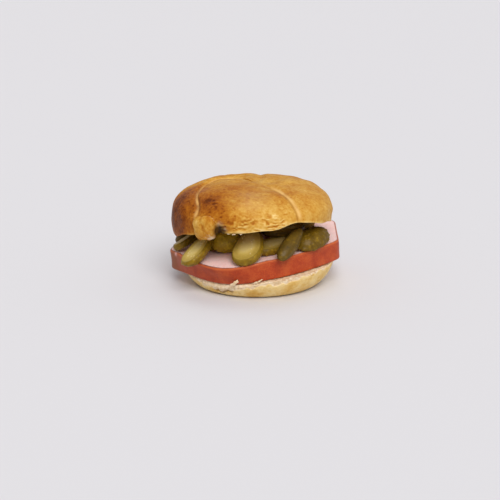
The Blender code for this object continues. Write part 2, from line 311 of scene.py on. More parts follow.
def drawnValue(tree, low, high, seed):
    inputs = {2: low, 3: high, "Seed": seed}
    return addNode(tree, "FunctionNodeRandomValue", inputs, data_type="FLOAT").outputs[1]


def drawnVector(tree, low, high):
    inputs = {0: low, 1: high}
    return addNode(tree, "FunctionNodeRandomValue", inputs, data_type="FLOAT_VECTOR").outputs[0]


def placedOn(tree, points, bit, turn, size):
    inputs = {"Points": points, "Instance": bit, "Rotation": turn, "Scale": size}
    return addNode(tree, "GeometryNodeInstanceOnPoints", inputs).outputs[0]


def tone(red, green, blue):
    # Screen colour, 0 to 255, as Blender's own values
    linear = []
    for level in (red, green, blue):
        share = level / 255.0
        linear.append(share / 12.92 if share <= 0.04045 else ((share + 0.055) / 1.055) ** 2.4)
    return (*linear, 1.0)


def newFinish(name, looks):
    # Material with these values on its shader's own sockets
    material = bpy.data.materials.new(name)
    material.use_nodes = True
    shader = material.node_tree.nodes["Principled BSDF"]
    for socket, value in looks.items():
        shader.inputs[socket].default_value = value
    place = addNode(material.node_tree, "ShaderNodeTexCoord").outputs["Object"]
    return material, material.node_tree, shader, place


def layerOf(tree, label):
    node = addNode(tree, "ShaderNodeAttribute", attribute_name=label, attribute_type="GEOMETRY")
    return node.outputs["Fac"]


def mixed(tree, factor, first, second):
    inputs = {0: factor, 6: first, 7: second}
    return addNode(tree, "ShaderNodeMix", inputs, data_type="RGBA").outputs[2]


def ramped(tree, factor, stops):
    node = addNode(tree, "ShaderNodeValToRGB", {0: factor})
    band = node.color_ramp
    while len(band.elements) < len(stops):
        band.elements.new(0.5)
    for element, (place, colour) in zip(band.elements, stops):
        element.position = place
        element.color = colour
    return node.outputs[0]


def roughened(tree, shader, fine, smoothest, byGrain):
    # Roughness where the finish is smoothest, and what its fine grain adds
    tree.links.new(plus(tree, times(tree, fine, byGrain), smoothest), shader.inputs["Roughness"])


def bumped(tree, shader, height, strength, distance):
    inputs = {"Height": height, "Strength": strength, "Distance": distance}
    tree.links.new(addNode(tree, "ShaderNodeBump", inputs).outputs[0], shader.inputs["Normal"])


# Bread: one finish for the browned crown and one for the pale heel

bread = {
    "bakeTones": (
        (0.00, tone(236, 208, 146)),
        (0.20, tone(222, 182, 104)),
        (0.38, tone(204, 154, 68)),
        (0.55, tone(186, 125, 40)),
        (0.72, tone(162, 93, 20)),
        (0.88, tone(130, 65, 12)),
        (1.00, tone(96, 44, 8)),
    ),
    "dough": tone(226, 184, 114),
    # Dark tone painted as shade in the crown's seam cracks and the heel's crack
    "creaseShadeTone": tone(124, 78, 26),
    # Near-black tone painted as shade inside the notch
    "hollowShadeTone": tone(34, 17, 6),
    "crumbTones": (
        (0.0, tone(176, 134, 84)),
        (0.3, tone(222, 192, 150)),
        (0.55, tone(240, 222, 194)),
        (1.0, tone(250, 240, 222)),
    ),
    "shine": {
        "Coat Roughness": 0.32,
        "Specular IOR Level": 0.09,
        "Specular Tint": tone(255, 214, 150),
    },
    "patchSize": 9.0 * mm,
    "mottleSize": 1.5 * mm,
    "freckleSize": 1.4 * mm,
    "grainSize": 0.45 * mm,
    # How far the mottle moves the bake, how far the relief's ridges lighten it and its grooves and pits
    # darken it as painted light and shade, and where a freckle fades in
    "mottleShare": 0.36,
    "ridgeLightShadeShare": 0.20,
    "freckleEdges": (0.52, 0.76),
    "doughShare": 0.72,
    # How strongly the cracks' painted shade shows
    "creaseShadeShare": 0.7,
    # How strongly the painted shade inside the notch shows
    "hollowShadeShare": 0.9,
    # Shares of the mottle, the grain and the ridges in the crumb's tone; the ridges' share paints the pores
    # darker and the high crumb lighter, as painted shade and light
    "crumbShares": (0.5, 0.3, 0.10),
    # Roughness of the smoothest crust, and what the mottle and the crumb add
    "roughness": (0.38, 0.30, 0.35),
    "bump": (0.5, 0.14 * mm),
    # How patchy and how freckled each finish is
    "browned": (0.44, 0.30),
    "pale": (0.22, 0.15),
}


def breadFinish(name, patchy, freckled):
    material, tree, shader, place = newFinish(name, bread["shine"])
    patches = noiseIn(tree, place, bread["patchSize"], 3.0, 1.0)
    mottle = noiseIn(tree, place, bread["mottleSize"], 3.0, 2.0)
    freckles = noiseIn(tree, place, bread["freckleSize"], 4.0, 3.0)
    grain = noiseIn(tree, place, bread["grainSize"], 2.0, 4.0)
    baked, crumb, ridge = layerOf(tree, "bake"), layerOf(tree, "crumb"), layerOf(tree, "ridge")

    uneven = times(tree, centred(tree, patches), patchy)
    spots = times(tree, centred(tree, mottle), bread["mottleShare"])
    bake = plus(tree, baked, plus(tree, uneven, spots))
    # The relief's ridges are painted lighter and its grooves and pits darker, as painted light and shade
    bake = minus(tree, bake, times(tree, ridge, bread["ridgeLightShadeShare"]))
    dark = times(tree, remap(tree, freckles, *bread["freckleEdges"]), freckled, baked)
    bake = plus(tree, bake, dark, clamp=True)
    colour = ramped(tree, bake, bread["bakeTones"])
    dough = times(tree, layerOf(tree, "dough"), bread["doughShare"], clamp=True)
    colour = mixed(tree, dough, colour, bread["dough"])

    # The crumb's pores are painted darker as shade and its high points lighter
    inside = blended(tree, (mottle, grain, ridge), bread["crumbShares"], clamp=True)
    inside = ramped(tree, inside, bread["crumbTones"])
    colour = mixed(tree, crumb, colour, inside)
    # Seam cracks and the heel's crack are painted dark as shade in their grooves
    crease = times(tree, layerOf(tree, "crease"), bread["creaseShadeShare"], clamp=True)
    colour = mixed(tree, crease, colour, bread["creaseShadeTone"])
    # The notch's inside is painted dark as shade
    hollow = times(tree, layerOf(tree, "hollow"), bread["hollowShadeShare"])
    colour = mixed(tree, hollow, colour, bread["hollowShadeTone"])
    tree.links.new(colour, shader.inputs["Base Color"])

    smoothest, byMottle, byCrumb = bread["roughness"]
    rough = plus(tree, times(tree, mottle, byMottle), smoothest)
    rough = plus(tree, rough, times(tree, crumb, byCrumb), clamp=True)
    tree.links.new(rough, shader.inputs["Roughness"])
    tree.links.new(times(tree, layerOf(tree, "gloss"), patches), shader.inputs["Coat Weight"])
    bumped(tree, shader, plus(tree, grain, mottle), *bread["bump"])
    return material


breadShape = (
    ("Blister Scale", "Float", 1.0 / (2.6 * mm)),
    ("Blister Height", "Float", 0.22 * mm),
    ("Wrinkle Spacing", "Float", 2.6 * mm),
    ("Wrinkle Height", "Float", 0.42 * mm),
    ("Pit Depth", "Float", 0.5 * mm),
    ("Tear Height", "Float", 0.9 * mm),
    ("Seed", "Float", 5.0),
)

breadRelief = {
    "warpSize": 9.0 * mm,
    "warpWaves": 7.0,
    "wrinklePatches": 5.0 * mm,
    "wrinkleEdges": (0.38, 0.60),
    "pitSize": 3.4 * mm,
    "pitEdges": (0.56, 0.70),
    "tearSize": 2.0 * mm,
    "tearGain": 2.4,
    "poreSize": 1.7 * mm,
    "poreEdges": (0.08, 0.42),
    "poreShare": 0.45,
    # Height that counts as a full ridge, and the deepest groove in the same measure
    "ridgeHeight": 0.3 * mm,
    "deepest": -1.5,
}

breadLayers = ("bake", "dough", "crease", "wrinkle", "pitted", "crumb", "gloss")


def layersOf(count, **given):
    # Every layer that bread needs, at 0 where nothing else is given
    return {label: np.zeros(count) + given.get(label, 0.0) for label in breadLayers}


def breadTree():
    # Blisters all over, wrinkles and pits where the layers say, rough crumb where the bread is torn
    tree, given = newShapeTree("bread relief", breadShape)
    place = addNode(tree, "GeometryNodeInputPosition").outputs[0]
    blister = centred(tree, noiseIn(tree, place, given["Blister Scale"], 3.0, 1.0))
    blister = times(tree, blister, given["Blister Height"], 2.0)

    warp = noiseIn(tree, place, breadRelief["warpSize"], 2.0, 2.0)
    height = addNode(tree, "ShaderNodeSeparateXYZ", {0: place}).outputs[2]
    phase = chained(tree, "DIVIDE", height, given["Wrinkle Spacing"])
    phase = plus(tree, phase, times(tree, warp, breadRelief["warpWaves"]))
    phase = times(tree, phase, math.tau)
    wave = addNode(tree, "ShaderNodeMath", {0: phase}, operation="SINE").outputs[0]
    patches = noiseIn(tree, place, breadRelief["wrinklePatches"], 2.0, 8.0)
    wave = times(tree, wave, remap(tree, patches, *breadRelief["wrinkleEdges"]))
    wrinkle = times(tree, wave, given["Wrinkle Height"], layerIn(tree, "wrinkle"))

    hollow = noiseIn(tree, place, breadRelief["pitSize"], 1.0, 4.0)
    hollow = remap(tree, hollow, *breadRelief["pitEdges"])
    pit = times(tree, hollow, given["Pit Depth"], layerIn(tree, "pitted"))

    rough = centred(tree, noiseIn(tree, place, breadRelief["tearSize"], 4.0, given["Seed"]))
    pore, _colour = cellSpots(tree, place, 1.0 / breadRelief["poreSize"], breadRelief["poreEdges"])
    pore = times(tree, pore, breadRelief["poreShare"])
    rough = minus(tree, times(tree, rough, breadRelief["tearGain"]), pore)
    tear = times(tree, rough, given["Tear Height"], layerIn(tree, "crumb"))

    total = minus(tree, plus(tree, blister, plus(tree, wrinkle, tear)), pit)
    ridge = chained(tree, "DIVIDE", total, breadRelief["ridgeHeight"])
    ridge = chained(tree, "MINIMUM", ridge, 1.0)
    ridge = chained(tree, "MAXIMUM", ridge, breadRelief["deepest"])
    # The relief's height is kept for painted light on the ridges and painted shade in grooves, pits and
    # pores
    shape = stored(tree, given["Geometry"], "ridge", ridge)
    closeShapeTree(tree, given, raised(tree, shape, total))
    return tree


# Crown: flattened dome of five lobes over a flank that runs down to the cut rim

crown = {
    "centre": (-2.4 * mm, 0.2 * mm),
    "radius": 50.1 * mm,
    "widestZ": 43.5 * mm,
    "domeHeight": 19.9 * mm,
    "domeRoundness": 2.7,
    "flankDrop": 30.0 * mm,
    "rimMeanZ": 36.0 * mm,
    "rimPitch": 8.5 * mm,
    "rimRoll": 3.5 * mm,
    "lipBulges": ((3.2 * mm, -54.0, 18.0), (0.8 * mm, -115.0, 12.0), (-2.6 * mm, -160.0, 12.0)),
    "lipRipple": 0.25 * mm,
    "ripples": ((11.0, 0.0, 1.0), (17.0, 1.0, 1.0)),
    "cutRise": 1.2 * mm,
    "cutCurve": 0.7,
    # Each fold's values stand in the order of the names below
    "folds": (
        (226.0, 110.0, 1.9 * mm, 1.9 * mm, 85, -1.0, 1.0),
        (306.0, 312.0, 1.3 * mm, 1.5 * mm, 95, 1.0, 1.0),
        (446.0, 436.0, 1.1 * mm, 0.7 * mm, 50, 1.0, 0.35),
        (492.0, 450.0, 1.1 * mm, 0.7 * mm, 50, 1.0, 0.45),
        (540.0, 463.0, 1.1 * mm, 1.5 * mm, 60, 1.0, 0.45),
    ),
    "seamTurn": (0.12, 1.0),
    "seamWidth": 2.3 * mm,
    "lobeRoot": 15.0 * mm,
    "lobeFullness": 0.8,
    "crowding": 0.08,
    "flattenLow": 0.85,
    "starOffset": (2.0 * mm, 0.4 * mm),
    "starReach": 0.7,
    "starDip": 0.5 * mm,
    "domeShift": 0.9 * mm,
    "crustRings": 150,
    "cutRings": 34,
    # The fold's own lip: a raised strip of pale dough beside a narrow crack
    "stripPlace": 0.5 * mm,
    "stripWidth": 1.2 * mm,
    "crackPlace": 1.4 * mm,
    "stripRise": 0.22 * mm,
    "crackWidth": 0.7 * mm,
    "crackDepth": 0.32 * mm,
    "foldUneven": 9.0 * mm,
    # Mean, swing, least and most of the strip and of the crack along their folds
    "stripPatches": (0.72, 0.35, 0.15, 1.15),
    "crackPatches": (0.6, 0.5, 0.1, 1.2),
    # Share of each seam crack that is painted dark as shade
    "creaseShadeShare": 0.6,
    # Reach from the star over which folds sharpen, and polar angles over which they fade out
    "foldStart": (0.18, 0.5),
    "foldEnd": (70.0, 88.0),
    # Share of the lobe's root from which folds are sharp, and how much their patches change with height
    "foldRoot": 0.6,
    "patchFlatness": 0.4,
    "lumpSize": 17.0 * mm,
    "lumpHeight": 0.35 * mm,
    # Share of the way up from the rim where the lumps are back at full height
    "lumpFade": 0.12,
    # How brown the crust is: all over, then spots with middle and radius in millimetres
    "bake": 0.44,
    "bakeSpots": (
        ((-49.0, -16.0, 46.0), 21.0, 0.50),
        ((-41.0, -29.0, 44.0), 9.0, 0.12),
        ((-40.0, -6.0, 58.0), 12.0, 0.10),
        ((-27.5, -31.0, 57.0), 9.0, 0.32),
        ((-20.0, -42.0, 53.0), 9.0, 0.22),
        ((-12.0, -20.0, 61.5), 14.0, 0.18),
        ((16.0, -24.0, 61.0), 12.0, 0.10),
        ((-17.0, 21.0, 62.0), 11.0, 0.04),
        ((12.0, -47.0, 53.0), 14.0, -0.10),
        ((46.0, -16.0, 47.0), 14.0, -0.06),
        ((30.0, 30.0, 55.0), 16.0, 0.16),
        ((-30.0, 36.0, 50.0), 14.0, 0.20),
    ),
    # The lip's lower edge is paler at the front: by how much, over what height and round which angles
    "lipPaleness": (0.25, 0.9 * mm),
    "lipAngles": (280.0, 50.0, 80.0),
    "pitSpots": (
        ((-17.0, -39.0, 57.0), 9.0, 1.0),
        ((-27.0, -30.0, 57.0), 8.0, 0.5),
        ((-46.0, -18.0, 50.0), 9.0, 0.5),
    ),
    "gloss": 0.10,
    "glossSpots": (
        ((-2.0, -33.0, 60.5), 11.0, 1.3),
        ((24.0, -18.0, 62.0), 12.0, 0.3),
        ((-34.0, -12.0, 60.0), 8.0, 0.3),
    ),
    # The cut face is painted mostly crust-brown with little crumb, as painted shade, and is pitted
    "shadedCutLook": {"bake": 0.85, "crumb": 0.15, "pitted": 0.6},
    "wrinkleAngles": (236.0, 304.0),
    "wrinkleFade": 14.0,
    # Height over the rim of the first wrinkles and of the last, and the share where they start to fade
    "wrinkleHeights": (0.9 * mm, 12.0 * mm),
    "wrinkleTop": 0.55,
    "seed": 5.0,
}

# Places of a fold's values: angle at the rim, angle at the star, depth, swell of the lobe after it,
# its columns, the side on which its pale strip lies and how sharp it is
rimAngle, starAngle, foldDepth, lobeSwell, lobeColumns, stripSide, sharpness = range(7)

tongue = {
    "centre": (-30.5 * mm, -40.9 * mm, 45.0 * mm),
    "halfWidth": 8.7 * mm,
    "halfHeight": 7.9 * mm,
    "halfDepth": 3.4 * mm,
    "turn": -127.0,
    # Corners of its outline: how far they stand out, how many and their phase
    "corners": (0.09, 4.0, 0.9),
    "fullness": 0.8,
    "rings": 44,
    "columns": 88,
    # Waves of the torn outline, and the share of them that shows
    "ragged": 0.05,
    "raggedShare": 0.45,
    "tatters": ((5.0, 1.0, 1.0), (9.0, 0.0, 0.7), (16.0, 0.0, 0.5)),
    "skinSwell": (0.16 * mm, 6.0 * mm),
    "bake": 0.44,
    "bakeSwell": (0.05, 5.0 * mm),
    # How much browner its edge is, and the share of its width where that starts
    "edgeBake": (0.10, 0.72),
    # Where the torn corner shows crumb, how much, and how unevenly that fades out
    "crumbAt": (6.4 * mm, -6.2 * mm),
    "crumbSpread": 1.9 * mm,
    "crumbGain": 1.6,
    "crumbUneven": (0.35, 2.0 * mm, 4.0 * mm),
    "crumbBack": (0.5 * mm, 1.5 * mm),
}

notch = {
    "centre": (-21.3 * mm, -46.6 * mm, 44.0 * mm),
    "size": (3.6 * mm, 7.0 * mm, 6.4 * mm),
    "top": 0.3,
    "crumbSpots": (((-21.5, -47.0, 48.4), 1.6, 0.6), ((-18.2, -48.2, 46.0), 1.1, 0.6)),
    "crumbUneven": (0.4, 2.2 * mm),
    # Painted shade inside the notch: middle, radius and amount
    "hollow": (((-21.0, -45.4, 44.2), 3.6, 2.4),),
}


def rimHeight(angle):
    turn = np.radians(angle)
    height = crown["rimMeanZ"] - crown["rimPitch"] * np.sin(turn) + crown["rimRoll"] * np.cos(turn)
    for rise, middle, spread in crown["lipBulges"]:
        height = height + rise * hump(wrapped(angle - middle), 0.0, spread)
    return height + crown["lipRipple"] * waves(turn, crown["ripples"])


def rimPolar(angle):
    # 90 at the widest line and more below it
    rise = rimHeight(angle) - crown["widestZ"]
    power = crown["domeRoundness"] / 2.0
    above = np.degrees(np.arccos(clipped(rise / crown["domeHeight"]) ** power))
    below = 90.0 + np.degrees(np.arcsin(clipped(-rise / crown["flankDrop"]) ** power))
    return np.where(rise > 0.0, above, below)


def crownColumns():
    # For each column the fold before it, the fold after it and its place between them
    folds = crown["folds"]
    again = (folds[0][rimAngle] + 360.0, folds[0][starAngle] + 360.0, *folds[0][foldDepth:])
    before, after, place = [], [], []
    for first, second in zip(folds, (*folds[1:], again)):
        count = first[lobeColumns]
        even = np.arange(count) / count
        before += [first] * count
        after += [second] * count
        place.append(even - crown["crowding"] * np.sin(math.tau * even))
    return np.array(before).T, np.array(after).T, np.concatenate(place)


def seamAngle(fold, reach):
    return fold[starAngle] + (fold[rimAngle] - fold[starAngle]) * smooth(reach, *crown["seamTurn"])


def starFade(reach):
    return np.sin(np.minimum(1.0, reach / crown["starReach"]) * math.pi / 2.0)


def crustRings():
    # Points of the crust from the star to the rim, and the layers that paint them
    before, after, place = crownColumns()
    rim = rimPolar(before[rimAngle] + (after[rimAngle] - before[rimAngle]) * place)
    share = np.arange(1, crown["crustRings"] + 1)[:, None] / crown["crustRings"]
    polar = rim * share
    up, reach = superellipse(np.radians(polar), crown["domeRoundness"])
    height = up * np.where(up > 0.0, crown["domeHeight"], crown["flankDrop"])
    inner = np.where(polar < 90.0, np.minimum(1.0, reach), 1.0)
    start, end = seamAngle(before, inner), seamAngle(after, inner)
    turn = np.radians(start + (end - start) * place)
    width = crown["radius"] * reach * np.radians(end - start)

    firstHalf = place < 0.5
    fromSeam, toSeam = place * width, (1.0 - place) * width
    rise = before[lobeSwell] * np.sin(math.pi * place) ** crown["lobeFullness"]
    dip = np.where(firstHalf, before[foldDepth], after[foldDepth])
    dip = dip * hump(np.minimum(fromSeam, toSeam), 0.0, crown["seamWidth"])
    low = 1.0 - crown["flattenLow"] * np.minimum(1.0, polar / 90.0) ** 4
    room = np.minimum(1.0, width / crown["lobeRoot"]) * starFade(reach)
    relief = (rise - dip) * low * room

    # The pale strip lies on one side of each seam, and the crack, a groove painted dark as shade, on the
    # other
    plain = np.stack([reach * np.cos(turn), reach * np.sin(turn), up * crown["patchFlatness"]], axis=-1)
    plain = plain * crown["radius"]
    aside = np.where(firstHalf, fromSeam * before[stripSide], -toSeam * after[stripSide])
    strip = hump(aside, crown["stripPlace"], crown["stripWidth"])
    strip = strip * patchyShare(plain, crown["foldUneven"], 12, crown["stripPatches"])
    crack = hump(aside, -crown["crackPlace"], crown["crackWidth"])
    crack = crack * patchyShare(plain, crown["foldUneven"], 13, crown["crackPatches"])
    sharp = np.where(firstHalf, before[sharpness], after[sharpness]) * smooth(reach, *crown["foldStart"])
    narrow = np.minimum(1.0, width / (crown["foldRoot"] * crown["lobeRoot"]))
    fade = sharp * narrow * (1.0 - smooth(polar, *crown["foldEnd"]))
    relief += (strip * crown["stripRise"] - crack * crown["crackDepth"]) * fade

    outward = np.sin(np.radians(polar)) ** 3
    radius = crown["radius"] * reach + relief * outward
    slide = crown["domeShift"] * np.maximum(0.0, height) / crown["domeHeight"]
    x = crown["centre"][0] + slide + crown["starOffset"][0] * (1.0 - inner) + radius * np.cos(turn)
    y = crown["centre"][1] + crown["starOffset"][1] * (1.0 - inner) + radius * np.sin(turn)
    z = crown["widestZ"] + height + relief * (1.0 - outward) - crown["starDip"] * (1.0 - starFade(reach))
    points = np.stack([x, y, z], axis=-1)

    # Soft lumps, which fade out at the rim so that the cut stays where it is
    lumps = swell(points, crown["lumpSize"], 11) * crown["lumpHeight"]
    lumps = lumps * smooth(1.0 - share, 0.0, crown["lumpFade"])
    points[..., 2] += lumps * (1.0 - outward)
    points[..., 0] += lumps * outward * np.cos(turn)
    points[..., 1] += lumps * outward * np.sin(turn)

    overRim = points[..., 2] - points[-1, :, 2]
    across, along = points[..., 0] - crown["centre"][0], points[..., 1] - crown["centre"][1]
    angle = np.degrees(np.arctan2(along, across)) % 360.0
    paleness, paleHeight = crown["lipPaleness"]
    pale = paleness * hump(overRim, 0.0, paleHeight) * lipFront(angle)
    layers = {
        "bake": crown["bake"] + spotted(points, crown["bakeSpots"]) - pale,
        "dough": strip * fade,
        "crease": crown["creaseShadeShare"] * crack * fade,
        "wrinkle": wrinkled(angle, overRim),
        "pitted": clipped(spotted(points, crown["pitSpots"])),
        "crumb": np.zeros_like(overRim),
        "gloss": crown["gloss"] + spotted(points, crown["glossSpots"]),
    }
    return points, layers


def lipFront(angle):
    # 1 round the front of the lip
    middle, near, far = crown["lipAngles"]
    return 1.0 - smooth(np.abs(wrapped(angle - middle)), near, far)


def wrinkled(angle, overRim):
    # Wrinkles lie in a band a little above the front of the lip
    first, last = crown["wrinkleAngles"]
    fade = crown["wrinkleFade"]
    lowest, highest = crown["wrinkleHeights"]
    share = smooth(angle, first, first + fade) * (1.0 - smooth(angle, last - fade, last))
    out = 1.0 - smooth(overRim, crown["wrinkleTop"] * highest, highest)
    return share * (smooth(overRim, 0.0, lowest) * out)


def cutHeight(x, y):
    # The crown's cut face hollows a little inside the rim
    across, along = x - crown["centre"][0], y - crown["centre"][1]
    reach = np.minimum(1.0, np.hypot(across, along) / crown["radius"])
    rim = rimHeight(np.degrees(np.arctan2(along, across)))
    level = crown["rimMeanZ"] + (rim - crown["rimMeanZ"]) * reach
    return level + crown["cutRise"] * np.cos(reach * math.pi / 2.0).clip(0.0) ** crown["cutCurve"]


def faceRings(rim, centre, shares, height):
    rings = []
    for share in shares:
        x = centre[0] + (rim[:, 0] - centre[0]) * share
        y = centre[1] + (rim[:, 1] - centre[1]) * share
        rings.append(np.stack([x, y, height(x, y)], axis=-1))
    return np.array(rings)


def tongueShell():
    polar = polarSteps(tongue["rings"])
    turn = turnsRound(tongue["columns"])
    ragged = tongue["ragged"] * waves(turn, tongue["tatters"])
    stand, count, phase = tongue["corners"]
    corner = stand * np.cos(count * turn - phase) - tongue["raggedShare"] * ragged
    reach = np.sin(polar) ** tongue["fullness"] * (1.0 - corner * np.sin(polar))
    along = tongue["halfWidth"] * reach * np.cos(turn)
    up = tongue["halfHeight"] * reach * np.sin(turn)
    out = tongue["halfDepth"] * np.cos(polar) * np.ones_like(turn)
    rings = np.stack([out, along, up], axis=-1)
    swellHeight, swellSize = tongue["skinSwell"]
    rings[..., 0] += swellHeight * swell(rings, swellSize, 21) * (out > 0.0)
    ends = (tongue["halfDepth"], 0.0, 0.0), (-tongue["halfDepth"], 0.0, 0.0)
    points, faces = shellOf(rings, *ends)

    offCrumb = np.hypot(points[:, 1] - tongue["crumbAt"][0], points[:, 2] - tongue["crumbAt"][1])
    crumb = tongue["crumbGain"] * hump(offCrumb, 0.0, tongue["crumbSpread"])
    uneven, size, fade = tongue["crumbUneven"]
    crumb = crumb + uneven * swell(points, size, 22) * hump(offCrumb, 0.0, fade)
    crumb = np.maximum(crumb, smooth(-points[:, 0], *tongue["crumbBack"]))
    edgeBake, start = tongue["edgeBake"]
    off = np.hypot(points[:, 1], points[:, 2])
    edge = smooth(off, start * tongue["halfWidth"], tongue["halfWidth"])
    amount, size = tongue["bakeSwell"]
    bake = tongue["bake"] + amount * swell(points, size, 23) + edgeBake * edge
    layers = layersOf(len(points), bake=bake, pitted=0.1, crumb=clipped(crumb), gloss=crown["gloss"])
    turned = np.array(Matrix.Rotation(math.radians(tongue["turn"]), 3, "Z"))
    return points @ turned.T + np.array(tongue["centre"]), faces, layers


def notchShell():
    halfX, halfY, halfZ = (side / 2.0 for side in notch["size"])
    points = []
    for z, spread in ((-halfZ, 1.0), (halfZ, notch["top"])):
        for x, y in ((-halfX, -halfY), (halfX, -halfY), (halfX, halfY), (-halfX, halfY)):
            points.append((x * spread, y, z))
    faces = [(0, 3, 2, 1), (4, 5, 6, 7)] + [(i, (i + 1) % 4, (i + 1) % 4 + 4, i + 4) for i in range(4)]
    return np.array(points) + np.array(notch["centre"]), faces


def nearestLayers(piece, sources):
    # After a Boolean each point takes its layers from the nearest point it was made from
    points = np.vstack([points for points, _layers in sources])
    tree = KDTree(len(points))
    for index, point in enumerate(points):
        tree.insert(point, index)
    tree.balance()
    found = np.array([tree.find(vertex.co)[1] for vertex in piece.data.vertices])
    joined = {label: [layers[label] for _points, layers in sources] for label in breadLayers}
    return {label: np.concatenate(parts)[found] for label, parts in joined.items()}


def buildCrown(tree, finish):
    crust, layers = crustRings()
    shares = 1.0 - evenSteps(crown["cutRings"])
    cut = faceRings(crust[-1], crown["centre"], shares, cutHeight)
    star = crust[0].mean(axis=0)
    middle = np.array([*crown["centre"], cutHeight(*crown["centre"])])
    points, faces = shellOf(np.concatenate([crust, cut]), star, middle)
    flat = {}
    for label, values in layers.items():
        inside = np.full(cut.shape[:2], crown["shadedCutLook"].get(label, 0.0))
        flat[label] = withPoles(np.concatenate([values, inside]), values[0].mean(), inside[0, 0])
    piece = newPiece("crown_bread", points, faces, {})
    tonguePoints, tongueFaces, tongueLayers = tongueShell()
    combine(piece, newPiece("tongue_lump", tonguePoints, tongueFaces, {}), "UNION")
    combine(piece, newPiece("notch_wedge", *notchShell(), {}), "DIFFERENCE")
    torn = pointsOf(piece)
    layers = nearestLayers(piece, [(points, flat), (tonguePoints, tongueLayers)])

    # The notch shows crumb along its edge, and its inside is painted dark as shade
    spots = spotted(torn, notch["crumbSpots"])
    uneven, size = notch["crumbUneven"]
    edge = clipped(spots + uneven * swell(torn, size, 31) * clipped(spots))
    layers["crumb"] = clipped(layers["crumb"] + edge)
    layers["hollow"] = clipped(spotted(torn, notch["hollow"]))
    setLayers(piece, layers)
    piece.data.shade_smooth()
    runShapeTree(piece, tree, {"Material": finish, "Seed": crown["seed"]})
    shown(piece, "crust", "crown")


# Slice of loaf: domed front edge, straight back, a left side that draws in towards it,
# and a front left edge that hangs a little

loaf = {
    "lean": 0.080,
    "sideX": (-53.2 * mm, 53.2 * mm),
    "frontPoints": 49,
    "backX": (-45.0 * mm, 53.2 * mm),
    "tip": (1.5 * mm, -45.6 * mm),
    "depths": (42.0 * mm, 34.5 * mm),
    "curves": (2.0, 1.68),
    "backY": 42.0 * mm,
    "backCorner": 9.0 * mm,
    "cornerPoints": 6,
    "smoothings": 24,
    "middle": (0.0, 2.0 * mm),
    "thickness": 12.2 * mm,
    "edge": 0.9 * mm,
    "bottomZ": 12.6 * mm,
    "droopDirection": -120.0,
    "droopStart": 33.5 * mm,
    "droopRate": 0.020 / mm,
    "columns": 440,
    "topRings": 84,
    "bottomRings": 24,
    "wallRings": 14,
    "edgeRings": 5,
    "rindDepth": 0.8 * mm,
    # Shares of the rind's depth over which it fades into the meat
    "rindFade": (0.6, 1.3),
    # Place and spread of the painted highlight on the rind along the top edge, as shares of the edge's
    # radius
    "edgeMark": (0.4, 0.8),
    # Waves of the wall: how far they stand out, how many there are and how far they lean
    "wallWaves": (0.25 * mm, 7.0, 3.0),
    # The rind turns brown towards the far left
    "brownX": (40.0 * mm, 52.0 * mm),
    # A chip out of the rind at the far left shows pink
    "chips": (((-49.0, -9.8, 19.7), 1.1, 1.2),),
}


def sliceBottom(x, y):
    turn = math.radians(loaf["droopDirection"])
    along = x * math.cos(turn) + y * math.sin(turn) - loaf["droopStart"]
    return loaf["bottomZ"] + loaf["lean"] * x - loaf["droopRate"] * np.maximum(0.0, along) ** 2


def slicePoints(x, y, lift):
    # Points at a lift above the underside, square to it
    step = 0.5 * mm
    slopeX = (sliceBottom(x + step, y) - sliceBottom(x - step, y)) / (2.0 * step)
    slopeY = (sliceBottom(x, y + step) - sliceBottom(x, y - step)) / (2.0 * step)
    up = np.stack([-slopeX, -slopeY, np.ones_like(slopeX)], axis=-1)
    up /= np.linalg.norm(up, axis=-1, keepdims=True)
    return np.stack([x, y, sliceBottom(x, y)], axis=-1) + up * np.asarray(lift)[..., None]


def sliceOutline():
    left, right = loaf["sideX"]
    points = []
    for x in np.linspace(left, right, loaf["frontPoints"]):
        side = 0 if x < loaf["tip"][0] else 1
        reach = (x - loaf["tip"][0]) / (loaf["sideX"][side] - loaf["tip"][0])
        points.append((x, loaf["tip"][1] + loaf["depths"][side] * reach ** loaf["curves"][side]))
    corner = loaf["backCorner"]
    backLeft, backRight = loaf["backX"]
    for middle, start in ((backRight - corner, 0.0), (backLeft + corner, math.pi / 2.0)):
        for turn in np.linspace(start, start + math.pi / 2.0, loaf["cornerPoints"]):
            y = loaf["backY"] - corner + corner * math.sin(turn)
            points.append((middle + corner * math.cos(turn), y))
    closed = np.array([*points, points[0]])
    stations = np.concatenate([[0.0], np.cumsum(np.linalg.norm(np.diff(closed, axis=0), axis=1))])
    even = np.linspace(0.0, stations[-1], loaf["columns"], endpoint=False)
    outline = np.column_stack([np.interp(even, stations, closed[:, i]) for i in (0, 1)])
    for _ in range(loaf["smoothings"]):
        outline = 0.5 * outline + 0.25 * (np.roll(outline, 1, axis=0) + np.roll(outline, -1, axis=0))
    return outline


